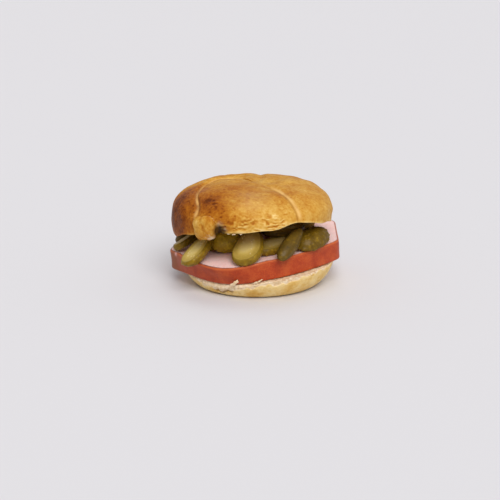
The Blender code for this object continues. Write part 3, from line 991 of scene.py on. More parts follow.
meat = {
    "pinkTones": (
        (0.0, tone(242, 194, 186)),
        (0.5, tone(248, 207, 201)),
        (1.0, tone(252, 218, 213)),
    ),
    "fleck": tone(252, 222, 212),
    # Painted shade in the pores
    "poreShadeTone": tone(206, 138, 124),
    "rindTones": (
        (0.0, tone(154, 52, 20)),
        (0.5, tone(174, 66, 26)),
        (1.0, tone(188, 84, 36)),
    ),
    # Painted highlight on the rind's top edge
    "edgeHighlightTone": tone(206, 108, 58),
    "brownEnd": tone(136, 70, 28),
    "shine": {
        "Subsurface Weight": 0.10,
        "Subsurface Scale": 1.2 * mm,
        "Subsurface Radius": (1.0, 0.35, 0.25),
        "Coat Weight": 0.03,
        "Specular IOR Level": 0.25,
    },
    "fineSize": 0.8 * mm,
    "broadSize": 12.0 * mm,
    "fleckSize": 0.7 * mm,
    "bakedSize": 6.0 * mm,
    # Pores: size of their cells, how round a pore is, and which cells have one
    "poreSize": 3.6 * mm,
    "poreEdges": (0.05, 0.21),
    "poreChoice": (0.62, 0.80),
    "grainSize": 1.6 * mm,
    "skinSize": 5.0 * mm,
    "bump": (0.25, 0.1 * mm),
    # Shares of the fine and the broad unevenness in the pink, and of the patches and the fine in the rind
    "pinkShares": (0.55, 0.45),
    "rindShares": (0.6, 0.4),
    "toneEdges": (0.3, 0.7),
    "fleckEdges": (0.66, 0.76),
    "fleckShare": 0.5,
    # Share of the painted shade in the pores
    "poreShare": 0.6,
    "edgeHighlightShare": 0.6,
    "roughness": (0.30, 0.25),
}

loafShape = (
    ("Pore Scale", "Float", 1.0 / meat["poreSize"]),
    ("Pore Depth", "Float", 0.28 * mm),
    ("Grain Height", "Float", 0.05 * mm),
    ("Rind Height", "Float", 0.16 * mm),
)


def poresIn(tree, place, scale):
    # Round pores in some of the cells; geometry and shader trees split a colour by different nodes
    pore, colour = cellSpots(tree, place, scale, meat["poreEdges"])
    kind = "FunctionNodeSeparateColor" if tree.type == "GEOMETRY" else "ShaderNodeSeparateColor"
    chosen = addNode(tree, kind, {0: colour}).outputs[0]
    return times(tree, pore, remap(tree, chosen, *meat["poreChoice"]))


def loafTree():
    # Small open pores in the cut meat, and the shallow unevenness of its rind
    tree, given = newShapeTree("loaf relief", loafShape)
    place = addNode(tree, "GeometryNodeInputPosition").outputs[0]
    rind = layerIn(tree, "rind")
    cutFace = minus(tree, 1.0, rind, clamp=True)
    pore = times(tree, poresIn(tree, place, given["Pore Scale"]), given["Pore Depth"], cutFace)
    grain = centred(tree, noiseIn(tree, place, meat["grainSize"], 3.0, 6.0))
    grain = times(tree, grain, given["Grain Height"])
    skin = centred(tree, noiseIn(tree, place, meat["skinSize"], 3.0, 7.0))
    skin = times(tree, skin, given["Rind Height"], rind)
    total = minus(tree, plus(tree, grain, skin), pore)
    closeShapeTree(tree, given, raised(tree, given["Geometry"], total))
    return tree


def meatFinish():
    material, tree, shader, place = newFinish("leberkase_meat", meat["shine"])
    fine = noiseIn(tree, place, meat["fineSize"], 3.0, 1.0)
    broad = noiseIn(tree, place, meat["broadSize"], 2.0, 2.0)
    flecks = noiseIn(tree, place, meat["fleckSize"], 0.0, 3.0)
    patches = noiseIn(tree, place, meat["bakedSize"], 4.0, 4.0)

    grain = blended(tree, (fine, broad), meat["pinkShares"])
    pink = ramped(tree, remap(tree, grain, *meat["toneEdges"]), meat["pinkTones"])
    fleck = times(tree, remap(tree, flecks, *meat["fleckEdges"]), meat["fleckShare"])
    pink = mixed(tree, fleck, pink, meat["fleck"])
    # Pores are painted darker, as painted shade in them
    pore = times(tree, poresIn(tree, place, 1.0 / meat["poreSize"]), meat["poreShare"])
    pink = mixed(tree, pore, pink, meat["poreShadeTone"])
    baked = blended(tree, (patches, fine), meat["rindShares"])
    rind = ramped(tree, remap(tree, baked, *meat["toneEdges"]), meat["rindTones"])
    rind = mixed(tree, layerOf(tree, "brown"), rind, meat["brownEnd"])
    # Painted highlight along the rind's top edge
    rind = mixed(tree, times(tree, layerOf(tree, "edge"), meat["edgeHighlightShare"]), rind, meat["edgeHighlightTone"])
    tree.links.new(mixed(tree, layerOf(tree, "rind"), pink, rind), shader.inputs["Base Color"])
    roughened(tree, shader, fine, *meat["roughness"])
    bumped(tree, shader, fine, *meat["bump"])
    return material


def buildLoaf(tree, finish):
    outline = sliceOutline()
    arms = outline - np.array(loaf["middle"])
    length = np.linalg.norm(arms, axis=1, keepdims=True)
    top, edge = loaf["thickness"], loaf["edge"]
    wave, waveCount, waveLean = loaf["wallWaves"]
    fadeStart, fadeEnd = (share * loaf["rindDepth"] for share in loaf["rindFade"])
    markAt, markSpread = (share * edge for share in loaf["edgeMark"])
    angle = np.arctan2(arms[:, 1], arms[:, 0])

    rows = [(share, 0.0, top) for share in evenSteps(loaf["topRings"])]
    bend = np.linspace(0.0, math.pi / 2.0, loaf["edgeRings"])
    for turn in bend:
        rows.append((1.0, edge * (1.0 - math.sin(turn)), top - edge * (1.0 - math.cos(turn))))
    rows += [(1.0, 0.0, lift) for lift in np.linspace(top - edge, edge, loaf["wallRings"])[1:-1]]
    rows += [(1.0, edge * (1.0 - math.cos(turn)), edge * (1.0 - math.sin(turn))) for turn in bend]
    rows += [(share, 0.0, 0.0) for share in evenSteps(loaf["bottomRings"])[::-1]]
    rings, rind, brown, edgeMark = [], [], [], []
    for share, inset, lift in rows:
        bulge = np.sin(waveCount * angle + waveLean * lift / top)
        bulge = wave * math.sin(math.pi * lift / top) * bulge
        flat = np.array(loaf["middle"]) + arms * (share - (inset - bulge[:, None] * (share == 1.0)) / length)
        rings.append(slicePoints(flat[:, 0], flat[:, 1], np.full(len(flat), lift)))
        inward = length[:, 0] * (1.0 - share) + inset
        rind.append(1.0 - smooth(inward, fadeStart, fadeEnd))
        edgeMark.append(hump(lift, top - markAt, markSpread) * (share == 1.0) * np.ones(len(flat)))
        brown.append(smooth(-flat[:, 0], *loaf["brownX"]))
    rings = np.array(rings)
    centre = np.array(loaf["middle"])
    poles = [slicePoints(centre[:1], centre[1:], [lift])[0] for lift in (top, 0.0)]
    points, faces = shellOf(rings, *poles)
    layers = {
        "rind": withPoles(rind, 0.0, 0.0) * (1.0 - clipped(spotted(points, loaf["chips"]))),
        "brown": withPoles(brown, 0.0, 0.0),
        "edge": withPoles(edgeMark, 0.0, 0.0),
    }
    piece = newPiece("leberkase_loaf_slice", points, faces, layers)
    runShapeTree(piece, tree, {"Material": finish})
    shown(piece, "leberkase", "leberkase_slice")


# Heel: shallow bowl of pale crust under a cut face that is torn at the front left

heel = {
    "centre": (2.0 * mm, 0.0),
    "radius": 48.5 * mm,
    "footCentre": (0.6 * mm, 0.0),
    "footRadius": 36.0 * mm,
    "widestZ": 20.0 * mm,
    "roundness": 1.8,
    "gap": 0.5 * mm,
    # Ripples of the torn cut: height, two wave counts and how sharply they fade inwards
    "tornRipple": (0.5 * mm, 13.0, 29.0, 8),
    "columns": 480,
    "footRings": 14,
    "flankRings": 64,
    "cutRings": 36,
    "cutSpacing": 1.4,
    "seed": 9.0,
    "tearHeight": 0.75 * mm,
    # How far below the rim the crust is torn off: all round, then bulges by angle and spread
    "tornDepth": 0.7 * mm,
    "tornBulges": (
        (1.9 * mm, 240.0, 12.0),
        (0.8 * mm, 262.0, 10.0),
        (2.2 * mm, 288.0, 13.0),
        (1.6 * mm, 120.0, 14.0),
        (1.0 * mm, 30.0, 12.0),
    ),
    "tornTatter": 0.45 * mm,
    "tatters": ((23.0, 1.0, 1.0), (41.0, 0.0, 1.0), (67.0, 0.0, 0.6)),
    # Heights about the torn line over which crust turns to crumb, and how far the crumb draws in
    "tornFade": (-0.5 * mm, 0.4 * mm),
    "tornInset": 0.45 * mm,
    # The crack is a groove, painted dark as shade
    "crackAngles": (230.0, 251.0),
    "crackFade": 4.0,
    "crackBelow": 0.3 * mm,
    "crackDepth": 1.3 * mm,
    "crackWidth": 0.7 * mm,
    # Flakes lie where the torn edge is this high and this far out
    "flakeHeights": (4.0 * mm, 9.0 * mm),
    "flakeReach": (42.0 * mm, 45.5 * mm),
    "bake": 0.05,
    "bakeSwell": (0.10, 16.0 * mm),
    # The underside is browner, up to a height
    "footBake": (0.2, 1.5 * mm),
    "pitted": 0.25,
    "restHeight": 0.6 * mm,
    "bakeSpots": (
        ((2.0, -43.0, 4.5), 8.0, 0.14),
        ((12.0, -43.0, 6.0), 7.0, 0.08),
        ((38.0, -28.0, 12.0), 9.0, 0.10),
        ((-20.0, -38.0, 2.0), 7.0, 0.10),
        ((-40.0, 25.0, 6.0), 14.0, 0.18),
        ((30.0, 38.0, 8.0), 16.0, 0.16),
    ),
}


def heelCut(x, y):
    angle = np.arctan2(y, x)
    reach = np.hypot(x, y) / heel["radius"]
    height, broad, fine, power = heel["tornRipple"]
    torn = np.sin(broad * angle) * np.sin(fine * angle + 1.0)
    return sliceBottom(x, y) - heel["gap"] - height * (1.0 + torn) / 2.0 * reach**power


def flatRing(points, height):
    return np.column_stack([points, np.zeros(len(points)) + height])


def heelFlank(turns, around, low, high):
    # Rings from the foot up to the cut edge, with their crumb and the crack's painted shade
    degrees = np.degrees(turns)
    cutZ = heelCut(high[:, 0], high[:, 1])
    tornAt = cutZ - heel["tornDepth"]
    for depth, middle, spread in heel["tornBulges"]:
        tornAt = tornAt - depth * hump(wrapped(degrees - middle), 0.0, spread)
    tornAt = tornAt - heel["tornTatter"] * waves(turns, heel["tatters"])
    first, last = heel["crackAngles"]
    onCrack = smooth(degrees, first, first + heel["crackFade"])
    onCrack *= 1.0 - smooth(degrees, last - heel["crackFade"], last)
    rings, crumb, crease = [], [], []
    for step in range(heel["flankRings"] + 1):
        z = cutZ * (1.0 - math.cos(step / heel["flankRings"] * math.pi / 2.0))
        fall = 1.0 - np.minimum(z, heel["widestZ"]) / heel["widestZ"]
        bulge = (1.0 - fall ** heel["roundness"]) ** (1.0 / heel["roundness"])
        torn = smooth(z - tornAt, *heel["tornFade"])
        crack = hump(z, tornAt - heel["crackBelow"], heel["crackWidth"]) * onCrack
        inward = heel["tornInset"] * torn + heel["crackDepth"] * crack
        flat = low + (high - low) * bulge[:, None] - around * inward[:, None]
        rings.append(flatRing(flat, z))
        crumb.append(torn)
        crease.append(crack)
    return rings, crumb, crease


def heelLayers(points, crumb, crease):
    flank = np.clip(spotted(points, heel["bakeSpots"]), -1.0, 1.0)
    amount, size = heel["bakeSwell"]
    footBake, footHeight = heel["footBake"]
    under = smooth(-points[:, 2], -footHeight, 0.0)
    reach = np.hypot(points[:, 0], points[:, 1])
    bake = heel["bake"] + flank + amount * swell(points, size, 41) + footBake * under
    # The foot stays flat where it rests
    offFoot = smooth(points[:, 2], 0.0, heel["restHeight"])
    pitted = heel["pitted"] * (1.0 - crumb) * offFoot
    layers = layersOf(len(points), bake=bake, crumb=crumb * offFoot, crease=crease, pitted=pitted)
    high = smooth(points[:, 2], *heel["flakeHeights"])
    layers["flake"] = crumb * high * smooth(reach, *heel["flakeReach"])
    return layers


def buildHeel(tree, finish):
    turns = turnsRound(heel["columns"])
    around = np.stack([np.cos(turns), np.sin(turns)], axis=1)
    low = np.array(heel["footCentre"]) + around * heel["footRadius"]
    high = np.array(heel["centre"]) + around * heel["radius"]
    foot = []
    for share in evenSteps(heel["footRings"]):
        foot.append(flatRing(np.array(heel["footCentre"]) + around * heel["footRadius"] * share, 0.0))
    flank, crumb, crease = heelFlank(turns, around, low, high)
    shares = 1.0 - evenSteps(heel["cutRings"]) ** heel["cutSpacing"]
    cut = faceRings(flank[-1], heel["centre"], shares, heelCut)
    rings = np.concatenate([np.array(foot + flank), cut])[::-1]
    middle = np.array([*heel["centre"], heelCut(*heel["centre"])])
    points, faces = shellOf(rings, middle, (*heel["footCentre"], 0.0))

    whole, torn = np.zeros((len(foot), heel["columns"])), np.ones(cut.shape[:2])
    crumbs = np.concatenate([whole, crumb, torn])[::-1]
    creases = np.concatenate([whole, crease, 0.0 * torn])[::-1]
    layers = heelLayers(points, withPoles(crumbs, 1.0, 0.0), withPoles(creases, 0.0, 0.0))
    piece = newPiece("heel_bread", points, faces, layers)
    values = {"Material": finish, "Seed": heel["seed"], "Tear Height": heel["tearHeight"]}
    runShapeTree(piece, tree, values)
    settled = pointsOf(piece)
    settled[:, 2] = np.maximum(settled[:, 2], 0.0)
    piece.data.vertices.foreach_set("co", settled.ravel())
    piece.data.update()
    shown(piece, "pale_crust", "heel")
    return piece


# Torn bits of crumb along the heel's cut edge

flakes = {
    "density": 180000.0,
    "sizes": (0.25 * mm, 0.8 * mm),
    # Least and most length, width and thickness of a flake, as shares of its size
    "thinnest": (0.8, 0.4, 0.15),
    "thickest": (1.4, 0.9, 0.45),
    # Lumps on a flake of radius 1: their height and size
    "lumps": (1.4, 1.3),
    "mostTurn": 6.28,
    # Larger tufts: middle and size in millimetres, and how far each one leans up to the right
    "tufts": (
        ((-13.4, -45.2, 10.8), (3.4, 1.6, 1.5), 12.0),
        ((-11.6, -45.5, 12.0), (3.4, 1.3, 1.4), 52.0),
        ((-12.6, -45.7, 11.8), (1.9, 1.0, 1.1), 95.0),
        ((0.2, -46.4, 12.2), (3.0, 1.2, 1.0), 18.0),
        ((2.6, -46.6, 13.3), (3.4, 1.0, 0.8), 34.0),
        ((-16.0, -47.6, 43.3), (1.5, 0.9, 0.6), 0.0),
        ((-12.8, -48.4, 43.2), (1.7, 0.9, 0.7), 0.0),
        ((-8.6, -49.0, 43.4), (1.4, 0.8, 0.6), 0.0),
    ),
    "tuftRings": 26,
    "tuftColumns": 40,
    # Size of the lumps on a ball of radius 1, and how far they stand out
    "tuftLumps": ((1.3, 0.34), (0.6, 0.20), (0.3, 0.10)),
}


def flakeTree():
    sockets = (
        ("Density", "Float", flakes["density"]),
        ("Smallest", "Float", flakes["sizes"][0]),
        ("Largest", "Float", flakes["sizes"][1]),
        ("Seed", "Int", 7),
    )
    tree, given = newShapeTree("crumb flakes", sockets)
    inputs = {"Mesh": given["Geometry"], "Seed": given["Seed"]}
    inputs["Density"] = times(tree, layerIn(tree, "flake"), given["Density"])
    scatter = addNode(tree, "GeometryNodeDistributePointsOnFaces", inputs).outputs[0]
    bit = addNode(tree, "GeometryNodeMeshIcoSphere", {"Radius": 1.0, "Subdivisions": 1}).outputs[0]
    place = addNode(tree, "GeometryNodeInputPosition").outputs[0]
    height, size = flakes["lumps"]
    bit = raised(tree, bit, times(tree, centred(tree, noiseIn(tree, place, size, 1.0, 2.0)), height))
    size = drawnValue(tree, given["Smallest"], given["Largest"], given["Seed"])
    size = scaled(tree, drawnVector(tree, flakes["thinnest"], flakes["thickest"]), size)
    spin = drawnVector(tree, (0.0,) * 3, (flakes["mostTurn"],) * 3)
    closeShapeTree(tree, given, placedOn(tree, scatter, bit, spin, size))
    return tree


def tuftShell(middle, size, lean, seed):
    polar = polarSteps(flakes["tuftRings"])
    turn = turnsRound(flakes["tuftColumns"])
    side, height = np.sin(polar), np.cos(polar) * np.ones_like(turn)
    ball = np.stack([side * np.cos(turn), side * np.sin(turn), height], axis=-1)
    points, faces = shellOf(ball, (0.0, 0.0, 1.0), (0.0, 0.0, -1.0))
    lumps = 0.0
    for step, (wide, rise) in enumerate(flakes["tuftLumps"]):
        lumps = lumps + rise * swell(points, wide, seed + step)
    points = points * (1.0 + lumps)[:, None] * np.array(size) * mm / 2.0
    leaning = np.array(Matrix.Rotation(-math.radians(lean), 3, "Y"))
    return points @ leaning.T + np.array(middle) * mm, faces


def buildFlakes(tree, finish, ground):
    piece = newObject("crumb_flakes", ground.data.copy())
    runShapeTree(piece, tree, {"Material": finish})
    allPoints, allFaces, start = [], [], 0
    for seed, (middle, size, lean) in enumerate(flakes["tufts"]):
        points, faces = tuftShell(middle, size, lean, 50 + 3 * seed)
        allPoints.append(points)
        allFaces += [tuple(index + start for index in face) for face in faces]
        start += len(points)
    tufts = newPiece("crumb_tufts", np.vstack(allPoints), allFaces, {"crumb": np.ones(start)})
    tufts.data.materials.append(finish)
    setLayers(piece, {"crumb": np.ones(len(piece.data.vertices))})
    piece.data.shade_smooth()
    shown(piece, "pale_crust")
    shown(tufts, "pale_crust")


# Gherkin slices and halves: the cut face is up in each one's own frame, with the skin round it

gherkins = {
    "roundness": 2.25,
    "bulge": 0.7 * mm,
    "taper": 0.16,
    "bevel": 0.45 * mm,
    "columns": 128,
    "faceRings": 18,
    "edgeRings": 10,
    "underRings": 18,
    "bevelRings": 4,
    "underSpacing": 1.3,
    # Powers that round the back of a half
    "domeCurve": (2.2, 0.6),
    # Middle, size and pose as in the solids, then wart height, darkness and greyness; the darkness is partly
    # each gherkin's own tone and partly painted shade on the pieces that lie deep under the crown
    "slices": {
        "gherkin_1": ((-40.9, -3.8, 27.9), (25.0, 12.0, 4.0, 0.0), (46.0, 17.0, -24.0), (0.25, 0.50, 0.0)),
        "gherkin_2": ((-35.4, -29.2, 28.1), (26.5, 15.0, 3.0, 4.2), (54.0, 30.0, -16.0), (0.30, 0.40, 0.0)),
        "gherkin_3": ((-26.5, -5.0, 28.9), (25.0, 10.6, 4.0, 0.0), (80.0, 16.0, 4.0), (0.25, 0.35, 0.0)),
        "gherkin_4": ((-16.3, -19.8, 31.0), (20.5, 13.0, 3.0, 5.0), (4.0, 0.0, -112.0), (0.35, 0.18, 0.0)),
        "gherkin_5": ((-4.1, -35.6, 31.3), (30.0, 18.0, 4.2, 0.0), (80.0, 23.0, -14.0), (0.25, 0.40, 0.0)),
        "gherkin_6": ((12.6, -24.6, 29.8), (30.0, 13.6, 4.2, 0.0), (40.0, 4.0, 9.0), (0.30, 0.45, 0.0)),
        "gherkin_7": ((17.7, -12.2, 36.3), (26.0, 13.0, 3.4, 0.0), (20.0, 3.0, 10.0), (0.30, 0.75, 0.0)),
        "gherkin_8": ((21.4, -36.3, 33.5), (27.0, 8.6, 3.0, 3.0), (58.0, 28.0, -150.0), (0.10, 0.70, 0.12)),
        "gherkin_9": ((34.9, -20.8, 31.9), (26.5, 16.0, 3.0, 5.4), (48.0, 8.0, -166.0), (0.55, 0.62, 0.0)),
        "gherkin_10": ((-20.6, 24.3, 26.2), (36.0, 17.0, 4.4, 0.0), (164.0, -4.0, 0.0), (0.35, 0.45, 0.0)),
        "gherkin_11": ((20.6, 23.7, 29.5), (36.0, 18.0, 4.6, 0.0), (15.0, 4.0, 0.0), (0.35, 0.50, 0.0)),
        "gherkin_12": ((-42.3, 13.3, 24.2), (22.0, 12.0, 3.0, 4.0), (66.0, 2.0, 176.0), (0.35, 0.70, 0.0)),
    },
    "fleshTones": (
        (0.0, tone(158, 128, 44)),
        (0.45, tone(204, 176, 90)),
        (1.0, tone(230, 209, 140)),
    ),
    "skinTones": (
        (0.0, tone(176, 144, 34)),
        (0.35, tone(132, 102, 18)),
        (0.65, tone(96, 72, 12)),
        (1.0, tone(58, 44, 10)),
    ),
    "rimTone": tone(120, 98, 28),
    "greyTone": tone(112, 100, 66),
    "seedTone": tone(222, 204, 146),
    "shine": {
        "Subsurface Weight": 0.10,
        "Subsurface Scale": 1.5 * mm,
        "Subsurface Radius": (1.0, 0.9, 0.3),
        "Coat Weight": 0.03,
        "Coat Roughness": 0.25,
        "Specular IOR Level": 0.16,
    },
    "broadSize": 5.0 * mm,
    "fineSize": 1.1 * mm,
    "bump": (0.3, 0.12 * mm),
    "wartEdges": (0.05, 0.52),
    # Size and reach of the wander that keeps warts out of line
    "wander": (4.0 * mm, 1.6 * mm),
    "ribSize": 3.2 * mm,
    "seedGap": 1.7 * mm,
    "seedShape": (0.5, 0.27, 0.16),
    "seedTurn": 0.5,
    # Shares of the outline over which the soft heart fades, and the skin shows at the rim
    "heartFade": (0.35, 0.85),
    "skinFade": (0.955, 1.0),
    "underSkinFade": (0.94, 1.0),
    # Place and spread of a row of seeds as shares of the width, and its reach along the slice
    "seedRows": (0.19, 0.07, 0.34),
    # Shares of the fine grain, the heart and the broad patches in the flesh
    "fleshShares": (0.3, 0.55, 0.25),
    "fleshShade": 0.2,
    "seedShare": 0.75,
    # Shares of the broad patches and the fine grain in the skin, and the darkness (own tone and painted
    # shade) that leaves it as it is
    "skinShares": (0.55, 0.35),
    "shadeMiddle": 0.45,
    "wartShare": 0.22,
    "greyShare": 0.6,
    "rimGain": 2.4,
    "roughness": (0.28, 0.25),
}


def gherkinFinish():
    material, tree, shader, place = newFinish("pickled_gherkin", gherkins["shine"])
    broad = noiseIn(tree, place, gherkins["broadSize"], 2.0, 1.0)
    fine = noiseIn(tree, place, gherkins["fineSize"], 3.0, 2.0)
    skin, heart, seed = layerOf(tree, "skin"), layerOf(tree, "heart"), layerOf(tree, "seed")
    shade, wart, grey = layerOf(tree, "shade"), layerOf(tree, "wart"), layerOf(tree, "grey")

    light = blended(tree, (fine, heart, broad), gherkins["fleshShares"])
    # The darkness layer is partly each gherkin's own tone and partly painted shade
    light = minus(tree, light, times(tree, shade, gherkins["fleshShade"]), clamp=True)
    flesh = ramped(tree, light, gherkins["fleshTones"])
    flesh = mixed(tree, times(tree, seed, gherkins["seedShare"]), flesh, gherkins["seedTone"])
    dark = blended(tree, (broad, fine), gherkins["skinShares"])
    dark = plus(tree, dark, minus(tree, shade, gherkins["shadeMiddle"]))
    dark = minus(tree, dark, times(tree, wart, gherkins["wartShare"]), clamp=True)
    outer = ramped(tree, dark, gherkins["skinTones"])
    outer = mixed(tree, times(tree, grey, gherkins["greyShare"]), outer, gherkins["greyTone"])
    colour = mixed(tree, skin, flesh, outer)
    border = times(tree, skin, minus(tree, 1.0, skin), gherkins["rimGain"], clamp=True)
    colour = mixed(tree, border, colour, gherkins["rimTone"])
    tree.links.new(colour, shader.inputs["Base Color"])
    roughened(tree, shader, fine, *gherkins["roughness"])
    bumped(tree, shader, fine, *gherkins["bump"])
    return material


gherkinShape = (
    ("Wart Scale", "Float", 1.0 / (2.6 * mm)),
    ("Wart Height", "Float", 0.3 * mm),
    ("Rib Height", "Float", 0.18 * mm),
    ("Seed Density", "Float", 400000.0),
    ("Seed Length", "Float", 1.5 * mm),
    ("Seed", "Int", 3),
)


def gherkinTree():
    # Warts on the skin, seeds half sunk in the middle of the cut face
    tree, given = newShapeTree("gherkin skin and seeds", gherkinShape)
    place = addNode(tree, "GeometryNodeInputPosition").outputs[0]
    size, reach = gherkins["wander"]
    shift = addNode(tree, "ShaderNodeTexNoise", {"Vector": place, "Scale": 1.0 / size}).outputs[1]
    shift = scaled(tree, shift, reach)
    moved = addNode(tree, "ShaderNodeVectorMath", {0: place, 1: shift}, operation="ADD").outputs[0]
    wart, _colour = cellSpots(tree, moved, given["Wart Scale"], gherkins["wartEdges"])
    wart = times(tree, wart, layerIn(tree, "skin"))
    marked = stored(tree, given["Geometry"], "wart", wart)
    ribs = centred(tree, noiseIn(tree, place, gherkins["ribSize"], 2.0, 5.0))
    ribs = times(tree, ribs, given["Rib Height"])
    flesh = raised(tree, marked, plus(tree, times(tree, wart, given["Wart Height"]), ribs))

    inputs = {"Mesh": flesh, "Density Max": given["Seed Density"], "Seed": given["Seed"]}
    inputs["Density Factor"] = layerIn(tree, "seedy")
    inputs["Distance Min"] = gherkins["seedGap"]
    kind = "GeometryNodeDistributePointsOnFaces"
    scatter = addNode(tree, kind, inputs, distribute_method="POISSON").outputs[0]
    grain = addNode(tree, "GeometryNodeMeshIcoSphere", {"Radius": 1.0, "Subdivisions": 2}).outputs[0]
    size = addNode(tree, "ShaderNodeCombineXYZ", dict(enumerate(gherkins["seedShape"]))).outputs[0]
    size = scaled(tree, size, given["Seed Length"])
    turn = drawnValue(tree, -gherkins["seedTurn"], gherkins["seedTurn"], given["Seed"])
    spin = addNode(tree, "ShaderNodeCombineXYZ", {2: turn}).outputs[0]
    spin = addNode(tree, "FunctionNodeEulerToRotation", {0: spin}).outputs[0]
    placed = placedOn(tree, scatter, grain, spin, size)
    seeds = addNode(tree, "GeometryNodeRealizeInstances", {0: placed}).outputs[0]
    seeds = stored(tree, seeds, "seed", 1.0)
    seeds = addNode(tree, "GeometryNodeSetShadeSmooth", {"Geometry": seeds}).outputs[0]
    joined = addNode(tree, "GeometryNodeJoinGeometry")
    for part in (seeds, flesh):
        tree.links.new(part, joined.inputs[0])
    closeShapeTree(tree, given, joined.outputs[0])
    return tree


def heartShare(share):
    return 1.0 - smooth(share, *gherkins["heartFade"])


def gherkinRows(half, dome):
    # Each row is a share of the outline, a spread beyond it, a height, skin and heart
    bevel, bulge = gherkins["bevel"], gherkins["bulge"]
    rows = []
    for share in evenSteps(gherkins["faceRings"]):
        skin = smooth(share, *gherkins["skinFade"]) * 0.5
        rows.append((share, -bevel * share, half, skin, heartShare(share)))
    for turned in np.linspace(0.0, math.pi / 2.0, gherkins["bevelRings"]):
        inset, drop = bevel * (1.0 - math.sin(turned)), bevel * (1.0 - math.cos(turned))
        rows.append((1.0, -inset, half - drop, 0.5 + 0.5 * math.sin(turned), 0.0))
    for height in np.linspace(half - bevel, -half, gherkins["edgeRings"])[1:]:
        rows.append((1.0, bulge * (1.0 - (height / half) ** 2), height, 1.0, 0.0))
    # The underside of a half is skin, and that of a slice is another cut face
    isHalf = 1.0 if dome > 0.0 else 0.0
    spacing, (inner, outer) = gherkins["underSpacing"], gherkins["domeCurve"]
    for share in 1.0 - evenSteps(gherkins["underRings"]) ** spacing:
        height = -half - dome * (1.0 - share**inner) ** outer
        skin = max(isHalf, smooth(share, *gherkins["underSkinFade"]))
        rows.append((share, 0.0, height, skin, (1.0 - isHalf) * heartShare(share)))
    return rows, isHalf


def gherkinShell(length, width, edge, dome):
    along, across = superellipse(turnsRound(gherkins["columns"]), gherkins["roundness"])
    across = width / 2.0 * across * (1.0 - gherkins["taper"] * along)
    outline = np.stack([length / 2.0 * along, across], axis=-1)
    reach = np.linalg.norm(outline, axis=1, keepdims=True)
    half = edge / 2.0
    rows, isHalf = gherkinRows(half, dome)
    rings = [flatRing(outline * (share + spread / reach), height) for share, spread, height, *_ in rows]
    skin = [np.full(len(outline), row[3]) for row in rows]
    heart = [np.full(len(outline), row[4]) for row in rows]
    points, faces = shellOf(np.array(rings), (0.0, 0.0, half), (0.0, 0.0, -half - dome))
    layers = {
        "skin": withPoles(skin, 0.0, isHalf),
        "heart": withPoles(heart, 1.0, 1.0 - isHalf),
    }
    # Seeds lie in two rows along the slice
    middle, spread, end = gherkins["seedRows"]
    row = hump(np.abs(points[:, 1]), middle * width, spread * width)
    row = row * (np.abs(points[:, 0]) < end * length)
    layers["seedy"] = row * (points[:, 2] > half - 0.05 * mm)
    return points, faces, layers


def buildGherkin(name, tree, finish, seed):
    place, size, pose, looks = gherkins["slices"][name]
    points, faces, layers = gherkinShell(*(value * mm for value in size))
    wartHeight, shade, grey = looks
    layers["shade"] = np.full(len(points), shade)
    layers["grey"] = np.full(len(points), grey)
    layers["seed"] = np.zeros(len(points))
    piece = newPiece(name + "_slice", points, faces, layers)
    runShapeTree(piece, tree, {"Material": finish, "Wart Height": wartHeight * mm, "Seed": seed})
    heading, rise, roll = (math.radians(angle) for angle in pose)
    turn = Matrix.Rotation(heading, 4, "Z") @ Matrix.Rotation(-rise, 4, "Y") @ Matrix.Rotation(roll, 4, "X")
    piece.data.transform(Matrix.Translation(Vector(place) * mm) @ turn)
    shown(piece, "gherkin", name)


# Table, light and camera

stage = {
    "floorSize": 8.0,
    "floorZ": -0.05 * mm,
    "floorTone": tone(218, 216, 218),
    "cloudTone": tone(202, 201, 204),
    "cloudSize": 0.4,
    "cloudShare": 0.05,
    "floorShine": {"Roughness": 0.7, "Specular IOR Level": 0.05},
    "worldTone": tone(238, 238, 241),
    "worldStrength": 0.58,
    # Heading and height of the light, how wide it looks, and its strength
    "key": (-76.0, 44.0, 36.0, 2.15),
    "overhead": (80.0, 78.0, 30.0, 0.45),
    "aim": (-3.2 * mm, 0.0, 19.3 * mm),
    "elevation": 16.3,
    "distance": 1.0,
    "lens": 114.0,
    "sensor": 36.0,
}


def softSun(name, heading, height, width, strength):
    lamp = bpy.data.lights.new(name, "SUN")
    lamp.angle = math.radians(width)
    lamp.energy = strength
    holder = newObject(name, lamp)
    turn, lift = math.radians(heading), math.radians(height)
    towards = Vector((math.cos(turn) * math.cos(lift), math.sin(turn) * math.cos(lift), math.sin(lift)))
    holder.location = towards * stage["distance"]
    holder.rotation_euler = towards.to_track_quat("Z", "Y").to_euler()


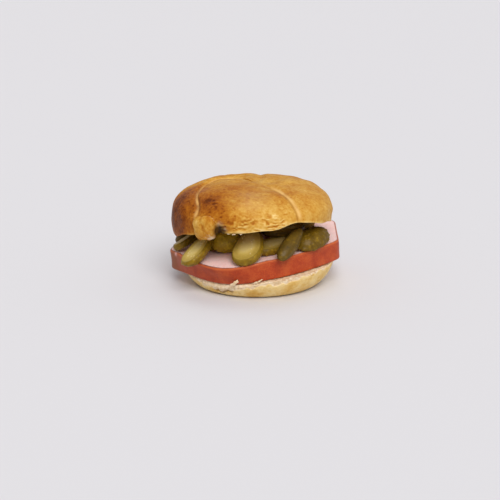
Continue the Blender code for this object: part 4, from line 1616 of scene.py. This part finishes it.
def setFloor():
    half, z = stage["floorSize"] / 2.0, stage["floorZ"]
    mesh = bpy.data.meshes.new("table_top")
    corners = [(x * half, y * half, z) for x, y in ((-1, -1), (1, -1), (1, 1), (-1, 1))]
    mesh.from_pydata(corners, [], [(0, 1, 2, 3)])
    floor = newObject("table_top", mesh)
    material, tree, shader, place = newFinish("table_white", stage["floorShine"])
    cloudy = times(tree, noiseIn(tree, place, stage["cloudSize"], 2.0, 1.0), stage["cloudShare"])
    colour = mixed(tree, cloudy, stage["floorTone"], stage["cloudTone"])
    tree.links.new(colour, shader.inputs["Base Color"])
    mesh.materials.append(material)


def setRoom():
    world = bpy.data.worlds.new("soft_room")
    world.use_nodes = True
    backdrop = world.node_tree.nodes["Background"]
    backdrop.inputs["Color"].default_value = stage["worldTone"]
    backdrop.inputs["Strength"].default_value = stage["worldStrength"]
    bpy.context.scene.world = world
    softSun("key", *stage["key"])
    softSun("overhead", *stage["overhead"])


def setCamera():
    bpy.context.scene.view_settings.view_transform = "Standard"
    lens = bpy.data.cameras.new("photo_view")
    lens.lens = stage["lens"]
    lens.sensor_width = stage["sensor"]
    camera = newObject("photo_view", lens)
    lift = math.radians(stage["elevation"])
    back = Vector((0.0, -math.cos(lift), math.sin(lift)))
    camera.location = Vector(stage["aim"]) + back * stage["distance"]
    camera.rotation_euler = (-back).to_track_quat("-Z", "Y").to_euler()
    bpy.context.scene.camera = camera


def main():
    print("finishes")
    browned = breadFinish("browned_crust", *bread["browned"])
    pale = breadFinish("pale_crust_bread", *bread["pale"])
    meatLook = meatFinish()
    gherkinLook = gherkinFinish()
    print("bread")
    relief = breadTree()
    buildCrown(relief, browned)
    ground = buildHeel(relief, pale)
    buildFlakes(flakeTree(), pale, ground)
    print("leberkase")
    buildLoaf(loafTree(), meatLook)
    print("gherkins")
    skinTree = gherkinTree()
    for seed, name in enumerate(gherkins["slices"]):
        buildGherkin(name, skinTree, gherkinLook, seed)
    print("stage")
    setFloor()
    setRoom()
    setCamera()


main()
